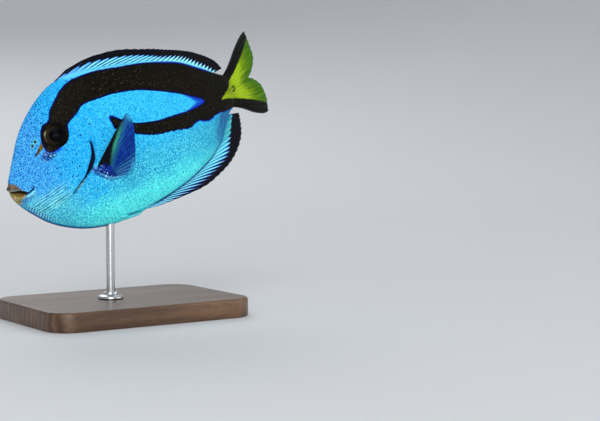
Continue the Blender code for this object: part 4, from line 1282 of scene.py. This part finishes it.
def rear_shade(look, s, h, fine):
    """Painted shade on the rear flank: a broad darkening low down, and a streaky grey-blue shadow patch in
    front of the tail's stem.
    """
    dh = h + 11
    slant = s - 115.8 - dh * 0.5
    high = dh * 0.85
    away = (slant * slant + high * high).math("SQRT")
    streaks = grain(joined(slant * 0.8, dh * 0.12), 1.0, dims="2D")
    # Painted shade: the lower rear flank is darkened, then the streaky grey-blue shadow patch is laid over
    # it.
    look.lay(fade(s, 84, 106) * fade(h, -2, -9) * 0.3, (0.012, 0.22, 0.42))
    shade = fade(away + (fine * 1.5 + streaks * 4), 14, 6.5)
    look.lay(shade * 0.88, blend(fade(streaks, 0.35, 0.65), (0.012, 0.085, 0.26), (0.026, 0.19, 0.46)))


def mouth_colours(look, s, fine):
    """The lips with a painted highlight along the upper lip's edge, the gape between them painted dark as its
    shade, the grey chin, and the ridge behind the mouth's corner, with a painted highlight on it and painted
    shade in its groove.
    """
    lips = look.named("lips") + (fine - 0.5) * 1.6
    below, gape, fold = look.named("lower_lip"), look.named("gape"), look.named("jaw_fold")
    look.lay(fade(lips, -4.5, -0.3) * fade(below, 0.5, 2.5) * 0.55, (0.1, 0.17, 0.36))
    upper = blend(fade(fine, 0.35, 0.62), (0.06, 0.062, 0.05), (0.26, 0.18, 0.12))
    upper = blend(fade(s, 1.2, 0) * 0.7, upper, (0.035, 0.035, 0.025))
    lower = blend(fade(fine, 0.36, 0.6), (0.19, 0.21, 0.065), (0.52, 0.38, 0.19))
    look.lay(fade(lips, -0.6, 0.5), blend(fade(below, -0.3, 0.3), upper, lower))
    # Painted highlight along the upper lip's edge.
    upper_lip_highlight = stripe(gape, -0.5, 0.5) * fade(below, 0.2, -0.4) * fade(s, 4.5, 3)
    look.lay(upper_lip_highlight * 0.45, (0.3, 0.44, 0.4))
    # Painted shade: the gape is painted near black under the upper lip, fading to brown towards the lower
    # lip.
    inner = blend(fade(below, 0, 1.3), (0.008, 0.006, 0.006), (0.24, 0.15, 0.035))
    look.lay(fade(gape, -0.25, 0.25), inner)
    near = between(s, 5, 6.5, 9.5, 11.5)
    # Painted highlight on the ridge behind the mouth's corner, and painted shade in the groove beside it.
    look.lay(stripe(fold, -1.15, 0.75) * near * 0.9, (0.3, 0.9, 0.97))
    look.lay(stripe(fold, 0, 0.55) * near, (0.004, 0.02, 0.06))


def fin_root(look, flat):
    """The mottled foot of the side fin, and the fold that runs round beneath it, with a painted highlight on
    its ridge and painted shade in its groove.
    """
    x, y, _ = parts(flat)
    dashes = grain(joined(x * 0.8, (y + x * 0.32) * 2), 1, 1, dims="2D")
    speckled = blend(fade(dashes, 0.42, 0.5), (0.003, 0.01, 0.14), (0.01, 0.06, 0.56))
    speckled = blend(fade(dashes, 0.59, 0.65), speckled, (0.34, 0.8, 0.98))
    look.lay(fade(look.named("pectoral_root"), -0.35, 0.35) * 0.92, speckled)
    fold, near = look.named("fin_fold"), look.named("by_fin")
    # Painted highlight on the fold's ridge, then painted shade in its groove.
    look.lay(stripe(fold, 0.95, 0.6) * near * 0.3, (0.2, 0.8, 1))
    look.lay(stripe(fold, 0, 0.5) * near * 0.6, (0.004, 0.08, 0.42))


def bands(look, s, h, fish, fine, spots, ring):
    """The black bands with their royal blue halo, and the yellow wedge of the tail."""
    low_edge = fade(h, 8, -1) * fade(s, 50, 60)
    ragged = (grain(fish, 0.5, 3, 0.6) - 0.5) * (0.55 + low_edge * 1.1)
    black = look.named("black") + ragged
    halo = fade(black / (0.2 + look.named("halo") * 3), -1.15, -0.2)
    yellow = look.named("yellow") + (fine - 0.5)
    beside_yellow = fade(yellow, -3, -0.8)
    away_from_yellow = 1 - beside_yellow
    look.lay(halo * away_from_yellow * 0.95, ROYAL)
    black = black + beside_yellow * 1.3
    band = blend(fade(grain(fish, 0.9, 5, 0.7), 0.42, 0.72), BAND_BLACK, BAND_BROWN)
    band = blend(spots(FLECKS_PER_MM, 0.22, 0.2) * (0.4 + stripe(s, 64, 26) * 0.45), band, GOLD)
    mottled = stripe(s, 22.6, 4.4) * stripe(h, 11.4, 2.6) * fade(fine, 0.45, 0.6) * 0.7
    band = blend(mottled, band, (0.075, 0.05, 0.022))
    band = blend(fade(black, 0.95, 0.25) * away_from_yellow, band, BAND_EDGE)
    look.lay(fade(black, -0.12, 0.12), band)
    tail = blend(fade(fine, 0.4, 0.7), YELLOW, (0.4, 0.5, 0.02))
    foot = look.use(ring, Away=look.named("blade_foot"))
    look.lay(fade(yellow, -0.35, 0.35), blend(foot["Ring"] * 0.85, tail, RING_OLIVE))


def midline_fin_finish(name, rays, teeth, dorsal):
    """The dorsal or anal fin: pale streaks between dark rays, royal teeth, then the black margin."""
    look = Finish(name, 0.42, specular=0.045)
    count, root = look.named("ray"), look.named("root_mm")
    ray = look.rays(rays, 0.3, 90)
    fine = grain(look.place(), 1100, 3)
    edge = look.named("past") + (fine - 0.5) * 0.5
    if dorsal:
        length = 0.9 + fade(count, 8, 16) * 1.4 + fade(count, 15, 19) * 1.3
        thin = fade(root, -0.6, 1) * 0.135 * fade(count, 19, 13) * fade(count, 1.5, 3.5) - 0.03
    else:
        edge = edge - 0.4
        length = 0.8 + fade(count, 1, 6) * 5 * fade(count, 19, 15.5)
        thin = -0.06
    tooth = look.use(teeth, Ray=count, Past=edge, Length=length, Thin=thin)
    gap = fade(ray["Phase"], 0.35, 0.8)
    look.colour = blend(gap * fade(root, -0.3, 0.8) * 0.8, STRIP_CYAN if dorsal else ANAL_CYAN, PALE_CYAN)
    outer = (0.13, 0.5, 1) if dorsal else (0.42, 0.74, 1)
    look.lay(fade(edge, -1.5, -0.6) * 0.75, blend(fade(count, 12, 17), outer, (0.58, 0.92, 1)))
    look.lay(fade(edge, -0.5, 0.1) * 0.75, (0.03, 0.09, 0.75))
    look.lay(fade(fine, 0.48, 0.3) * 0.35, (0.02, 0.34, 0.75))
    if dorsal:
        look.lay(fade(count, 4.5, 1) * 0.75, (0.11, 0.42, 1))
        look.lay(fade(count, 11, 17) * fade(edge, -0.3, -1.4) * 0.55, (0.4, 1, 1))
    else:
        rear = fade(count, 15.3, 17.6)
        dark_rays = fade(ray["Phase"], 0.34, 0.12) * fade(root, 1.0, 1.8) * fade(count, 17.0, 15.0)
        look.lay(dark_rays * 0.6, (0.004, 0.17, 0.4))
        # The last rays' duller teal is partly the fin's own colour and partly the painted shade patch of the
        # body, carried onto the fin.
        teal = blend(fade(fine, 0.35, 0.6), (0.03, 0.36, 0.52), (0.06, 0.44, 0.4))
        look.lay(rear * 0.9, blend(gap * 0.35, teal, (0.1, 0.75, 0.85)))
        # Painted shade near the root of the last rays.
        look.lay(rear * fade(root, 3.5, 0.6) * 0.85, (0.014, 0.15, 0.42))
        # Painted shade in the crease where the fin's root meets the belly.
        crease_shade = stripe(root, 0.34, 0.62) * between(count, 1, 3, 14.5, 18)
        look.lay(crease_shade * 0.95, (0.002, 0.045, 0.17))
    look.lay(tooth["Fringe"] * fade(count, 19, 15) * 0.45, ROYAL)
    look.lay(tooth["Dark"], blend(fade(edge, -1.5, -0.1), (0.0015, 0.009, 0.16), FIN_BLACK))
    look.lay(fade(look.named("reach"), 0.965, 0.99) * 0.7, (0.055, 0.075, 0.13))
    return look.done(ray["Height"], 0.15 * MM, 0.7)


def caudal_finish(rays, ring):
    """The tail fin: a yellow wedge streaked with green, between two black margins."""
    look = Finish("tail_fin", 0.45, specular=0.045)
    count, reach, share = look.named("ray"), look.named("reach"), look.named("share")
    ray = look.rays(rays, 0.32, 160)
    fine = grain(look.place(), 900, 3)
    out = reach + (fine - 0.5) * 0.35
    strands = grain(joined(count * 2.6, reach * 2.2), 1.0, 3.0, 0.6, dims="2D")
    look.colour = blend(stripe(out, 0.36, 0.24) * 0.75, YELLOW, (0.46, 0.68, 0.016))
    look.lay(fade(out, 0.4, 0.82), YELLOW_GREEN)
    pale = blend(fade(out, 0.45, 0.8), (0.46, 0.6, 0.035), (0.15, 0.33, 0.015))
    look.lay(fade(strands, 0.52, 0.66) * 0.6, pale)
    look.lay(fade(strands, 0.46, 0.36) * fade(out, 0.25, 0.6) * 0.65, (0.028, 0.12, 0.004))
    look.lay(ray["Line"] * 0.25, (0.1, 0.2, 0.006))
    foot = look.use(ring, Away=look.named("blade_foot"))
    look.lay(foot["Inside"] * 0.5, (0.14, 0.16, 0.02))
    look.lay(foot["Ring"] * 0.9, RING_OLIVE)
    look.lay(fade(out, 0.9, 1.02) * 0.55, (0.08, 0.26, 0.1))
    edge = look.named("yellow") + (fine - 0.5) * 1.2
    black = blend(ray["Line"] * 0.6, (0.004, 0.0035, 0.0032), (0.010, 0.0075, 0.006))
    lead = share.math("MINIMUM", 1.0 - share) * (CAUDAL_RAYS - 1.0)
    black = blend(fade(lead, 0.16, 0.04) * fade(reach, 0.15, 0.3) * 0.5, black, (0.05, 0.06, 0.08))
    look.colour = blend(fade(edge, -0.4, 0.3), black, look.colour)
    solid = 1 - fade(out, 0.93, 1) * fade(edge, 0, 1) * 0.5
    return look.done(ray["Height"], 0.2 * MM, 0.8, Alpha=solid)


def pectoral_finish(rays):
    """The side fin: a black front wedge, a green streak, then violet-blue that clears to the rear."""
    look = Finish("pectoral_fin", 0.42, specular=0.06)
    share, reach = look.named("share"), look.named("reach")
    ray = look.rays(rays, 0.3, 150)
    place = look.place()
    fine = grain(place, 700, 3)
    behind = share + (fine - 0.5) * 0.08 - (0.115 / reach.math("MAXIMUM", 0.12) - 0.135)
    violet = blend(fade(fine, 0.35, 0.65), (0.003, 0.03, 0.25), (0.008, 0.065, 0.4))
    streak = behind / (1.25 - reach)
    look.colour = blend(fade(reach, 0.25, 0.5), (0.02, 0.1, 0.09), (0.04, 0.34, 0.22))
    look.lay(fade(reach, 0.66, 0.86), (0.016, 0.07, 0.2))
    look.lay(fade(streak, 0.09, 0.17), (0.016, 0.15, 0.34))
    look.lay(fade(streak, 0.22, 0.42), violet)
    look.lay(fade(behind, 0.05, -0.03), (0.004, 0.006, 0.01))
    rear = fade(share, 0.56, 0.9) * fade(reach, 0.05, 0.2)
    look.lay(rear * 0.3, (0.02, 0.2, 0.62))
    look.lay(rear * ray["Phase"] * 0.6, (0.12, 0.55, 0.9))
    look.lay(ray["Line"] * fade(behind, 0, 0.2) * 0.45, (0.003, 0.012, 0.14))
    tip = fade(reach, 0.86, 0.96) * fade(share, 0.22, 0.1)
    look.lay(tip * 0.7, (0.05, 0.32, 0.62))
    look.lay(fade(share, 0.05, 0) * tip, (0.004, 0.02, 0.16))
    dashes = grain(place, 1500)
    speckled = blend(fade(dashes, 0.44, 0.54), (0.003, 0.01, 0.12), (0.01, 0.035, 0.46))
    speckled = blend(fade(dashes, 0.56, 0.64) * fade(reach, 0.16, 0.08), speckled, (0.24, 0.66, 0.95))
    inward = reach - share.math("MINIMUM", 0.5) * 0.30 + fine * 0.1
    look.lay(fade(inward, 0.15, 0.08) * 0.92, speckled)
    clear = fade(behind, 0.25, 0.6) * fade(reach, 0.15, 0.4) * (1.0 - ray["Line"]) * 0.12
    for more in (rear * 0.62, tip * 0.62, fade(share, 0.55, 0.9) * fade(reach, 0.5, 0.95) * 0.85):
        clear = clear.math("MAXIMUM", more)
    return look.done(ray["Height"], 0.15 * MM, 0.7, Alpha=1 - clear)


def pelvic_finish(rays):
    """The belly fin: cyan, with painted shadow along its upper edge where it lies against the belly, and dark
    tips.
    """
    look = Finish("pelvic_fin", 0.42, specular=0.06)
    share, reach = look.named("share"), look.named("reach")
    ray = look.rays(rays, 0.3, 90)
    fine = grain(look.place(), 900, 3)
    look.colour = blend(fade(fine, 0.35, 0.65), (0.08, 0.9, 0.96), (0.22, 1, 1))
    look.lay(fade(share, 0.7, 0.95) * fade(reach, 0.2, 0.5) * 0.6, (0.34, 0.62, 1))
    # Painted shadow along the upper edge, where the fin lies against the belly.
    look.lay(fade(share, 0.16, 0.04) * fade(reach, 0.2, 0.4), (0.004, 0.03, 0.14))
    look.lay(fade(reach, 0.9, 1) * 0.7, (0.01, 0.06, 0.34))
    look.lay(ray["Line"] * 0.2, (0.03, 0.5, 0.7))
    return look.done(ray["Height"], 0.15 * MM, 0.7)


def eye_finish():
    """A wide dark pupil in a nearly black iris, with one gold arc at the front: partly the iris's colour,
    partly a painted highlight that is brightest towards the top.
    """
    look = Finish("wet_eye", 0.28, specular=0.02, coat=0.022, coat_roughness=0.05)
    place = look.named("iris_place", "Vector")
    x, y, _ = parts(place)
    out = (x * x + y * y).math("SQRT")
    fine = grain(place, 1.6, 4, 0.65)
    brown = blend(fade(fine, 0.38, 0.68), (0.006, 0.005, 0.003), (0.022, 0.016, 0.008))
    iris = blend(fade(x, 1, -3), (0.0035, 0.003, 0.0025), brown)
    iris = blend(stripe(out, 3.5, 0.4) * fade(x, 1, -2) * 0.3, iris, (0.035, 0.028, 0.018))
    # The gold arc is partly the iris's own colour and partly a painted highlight, paler towards the top.
    arc = fade(x, -2.6, -3.9) * stripe(out, 4.85, 0.6) * between(y, -2.4, 0, 2.4, 3.4)
    arc_tone = blend(fade(y, 0.8, 2.2), (0.085, 0.07, 0.045), (0.36, 0.35, 0.24))
    iris = blend(arc * fade(fine, 0.3, 0.5), iris, arc_tone)
    olive = fade(x, -0.6, -3) * fade(y, 0.6, 3) * fade(fine, 0.35, 0.65)
    iris = blend(olive * 0.7, iris, (0.05, 0.043, 0.01))
    iris = blend(stripe(out, 5.2, 0.3) * fade(x, 2.5, 4.5) * 0.5, iris, (0.02, 0.009, 0.006))
    look.colour = blend(fade(out, PUPIL_RADIUS - 0.15, PUPIL_RADIUS + 0.25), (0.0012, 0.0015, 0.003), iris)
    look.lay(fade(out, 5.35, 5.7), (0.004, 0.0035, 0.0035))
    return look.done(fine, 0.05 * MM, 0.3)


def nostril_finish():
    """A blue rim round a dish painted dark as the nostril's shade."""
    look = Finish("nostril_rim", 0.4, coat=0.2)
    look.colour = blend(grain(look.place(), 1500), (0.05, 0.5, 0.75), (0.15, 0.75, 0.85))
    # Painted shade inside the nostril.
    look.lay(fade(look.named("dark"), 0.35, 0.75), (0.003, 0.003, 0.004))
    return look.done()


def blade_finish():
    """The blade's olive yellow, with a dark tip."""
    look = Finish("tail_blade", 0.45, specular=0.05)
    fine = grain(look.place(), 1100, 3)
    look.colour = blend(fine, (0.2, 0.3, 0.01), (0.34, 0.4, 0.03))
    look.lay(fade(look.named("reach"), 0.85, 1) * 0.8, (0.03, 0.035, 0.006))
    return look.done(fine, 0.05 * MM, 0.4)


def walnut_finish():
    """Dark oiled wood, with rings along the board and fine pores."""
    look = Finish("walnut", 0.36, coat=0.15, coat_roughness=0.25)
    place = look.place()
    board = stretched(place, (9, 70, 70), (0, 0, math.radians(1.5)))
    given = {"Vector": board, "Scale": 1.1, "Distortion": 5, "Detail": 3, "Detail Scale": 1.4}
    rings = Value(node(look.tree, "ShaderNodeTexWave", given, bands_direction="Y")["Fac"])
    pores = grain(stretched(place, (180, 2600, 2600)), 1)
    look.colour = blend(rings, (0.05, 0.022, 0.01), (0.13, 0.062, 0.028))
    look.lay(fade(grain(board, 1.2, 4, 0.55), 0.45, 0.7) * 0.6, (0.2, 0.105, 0.05))
    look.lay(fade(pores, 0.58, 0.72) * 0.7, (0.022, 0.01, 0.005))
    return look.done(1 - pores, 0.06 * MM, 0.3, Roughness=0.28 + pores * 0.2)


def steel_finish(name, direction):
    """Satin steel with fine brushing along one direction."""
    look = Finish(name, 0.28, metallic=1)
    brushed = grain(stretched(look.place(), direction), 1, 3, 0.6)
    look.colour = blend(brushed, (0.46, 0.47, 0.49), (0.66, 0.66, 0.67))
    return look.done(brushed, 0.02 * MM, 0.25, Roughness=0.2 + brushed * 0.18)


# Stage


def pale_bowl():
    """A pale floor that rises into a round backdrop, the same from every side."""
    look = Finish("pale_floor", 0.7, specular=0.2)
    look.colour = blend(grain(look.place(), 3), (0.74, 0.755, 0.77), (0.77, 0.785, 0.8))
    columns = 96
    section = [(0.02, 0), (0.2, 0)]
    for a in np.linspace(0, math.pi / 2, 17):
        section.append((FLAT_RADIUS + BOWL_RADIUS * math.sin(a), BOWL_RADIUS * (1 - math.cos(a))))
    section.append((FLAT_RADIUS + BOWL_RADIUS, BOWL_RADIUS + 0.8))
    points = turned(section, columns, 0, *np.eye(3)).reshape(-1, 3)
    faces = grid_faces(len(section), columns, wrapped=True) + [tuple(range(columns))]
    mesh = bpy.data.meshes.new("pale_floor")
    mesh.from_pydata(points.tolist(), [], faces)
    mesh.materials.append(look.done())
    mesh.shade_smooth()
    floor = put_in("pale_floor", mesh)
    floor.location.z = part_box("stand_base")[0].z


def softbox(name, place, size, power):
    """A round lamp that faces the model."""
    light = bpy.data.lights.new(name, "AREA")
    light.shape = "DISK"
    light.size = size
    light.energy = power
    lamp = put_in(name, light)
    lamp.location = place
    lamp.rotation_euler = (Vector(LIT_POINT) - Vector(place)).to_track_quat("-Z", "Y").to_euler()
    lamp.visible_camera = False


def lights():
    """Four soft lamps and an even pale sky."""
    softbox("key", (-0.75, -1.05, 0.95), 0.9, 7)
    softbox("fill", (0.85, -0.75, 0.45), 0.9, 3)
    softbox("low", (-0.45, -0.95, -0.02), 0.6, 8.1)
    softbox("back", (0.35, 1.1, 0.9), 0.8, 4)
    world = bpy.data.worlds.new("soft_room")
    world.use_nodes = True
    sky = world.node_tree.nodes["Background"].inputs
    sky["Color"].default_value = SKY
    sky["Strength"].default_value = SKY_STRENGTH
    bpy.context.scene.world = world


def camera():
    """The camera, placed from the snout."""
    data = bpy.data.cameras.new("camera")
    data.lens = CAMERA_LENS
    data.sensor_width = 36
    data.sensor_fit = "HORIZONTAL"
    data.clip_start = 0.01
    eye_point = put_in("camera", data)
    eye_point.location = (np.array(CAMERA_FROM_SNOUT) + SNOUT) * MM
    eye_point.rotation_euler = (math.pi / 2 - CAMERA_ELEVATION, 0, CAMERA_AZIMUTH)
    bpy.context.scene.camera = eye_point


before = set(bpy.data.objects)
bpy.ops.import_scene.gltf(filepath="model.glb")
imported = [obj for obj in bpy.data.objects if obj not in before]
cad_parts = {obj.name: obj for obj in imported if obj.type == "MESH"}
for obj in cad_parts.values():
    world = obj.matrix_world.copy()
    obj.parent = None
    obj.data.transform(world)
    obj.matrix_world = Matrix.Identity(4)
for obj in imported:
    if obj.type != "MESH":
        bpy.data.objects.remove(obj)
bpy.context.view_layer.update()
SNOUT = snout_place()
bpy.context.scene.view_settings.view_transform = "Standard"

scales = effect("tiny scales", ("Place", "Density"), tiny_scales)
flecks = effect("scattered flecks", ("Place", "Density", "Size", "Share"), scattered_flecks)
rays = effect("fin rays", ("Ray", "Reach", "Width", "Joints"), fin_rays)
teeth = effect("margin teeth", ("Ray", "Past", "Length", "Thin"), margin_teeth)
ring = effect("blade ring", ("Away",), blade_ring)
tree = ray_tree()

skin(skin_finish(scales, flecks, ring))
midline_looks = [
    midline_fin_finish("dorsal_fin", rays, teeth, dorsal=True),
    midline_fin_finish("anal_fin", rays, teeth, dorsal=False),
    caudal_finish(rays, ring),
]
for fin, look in zip(midline_fins(), midline_looks):
    grow_fin(fin, look, tree)
paired_looks = [pectoral_finish(rays), pelvic_finish(rays)]
eye_look, blade_look = eye_finish(), blade_finish()
for side_name, hand in (("left", -1), ("right", 1)):
    for fin, look in zip(paired_fins(side_name, hand), paired_looks):
        grow_fin(fin, look, tree)
    eye(side_name, hand, eye_look)
    tail_spine(side_name, hand, blade_look)
nostril_rims(nostril_finish())
display_base(walnut_finish())
display_rod(steel_finish("brushed_rod", (2600.0, 2600.0, 60.0)))
display_collar(steel_finish("turned_collar", (900.0, 900.0, 2600.0)))

pale_bowl()
lights()
camera()
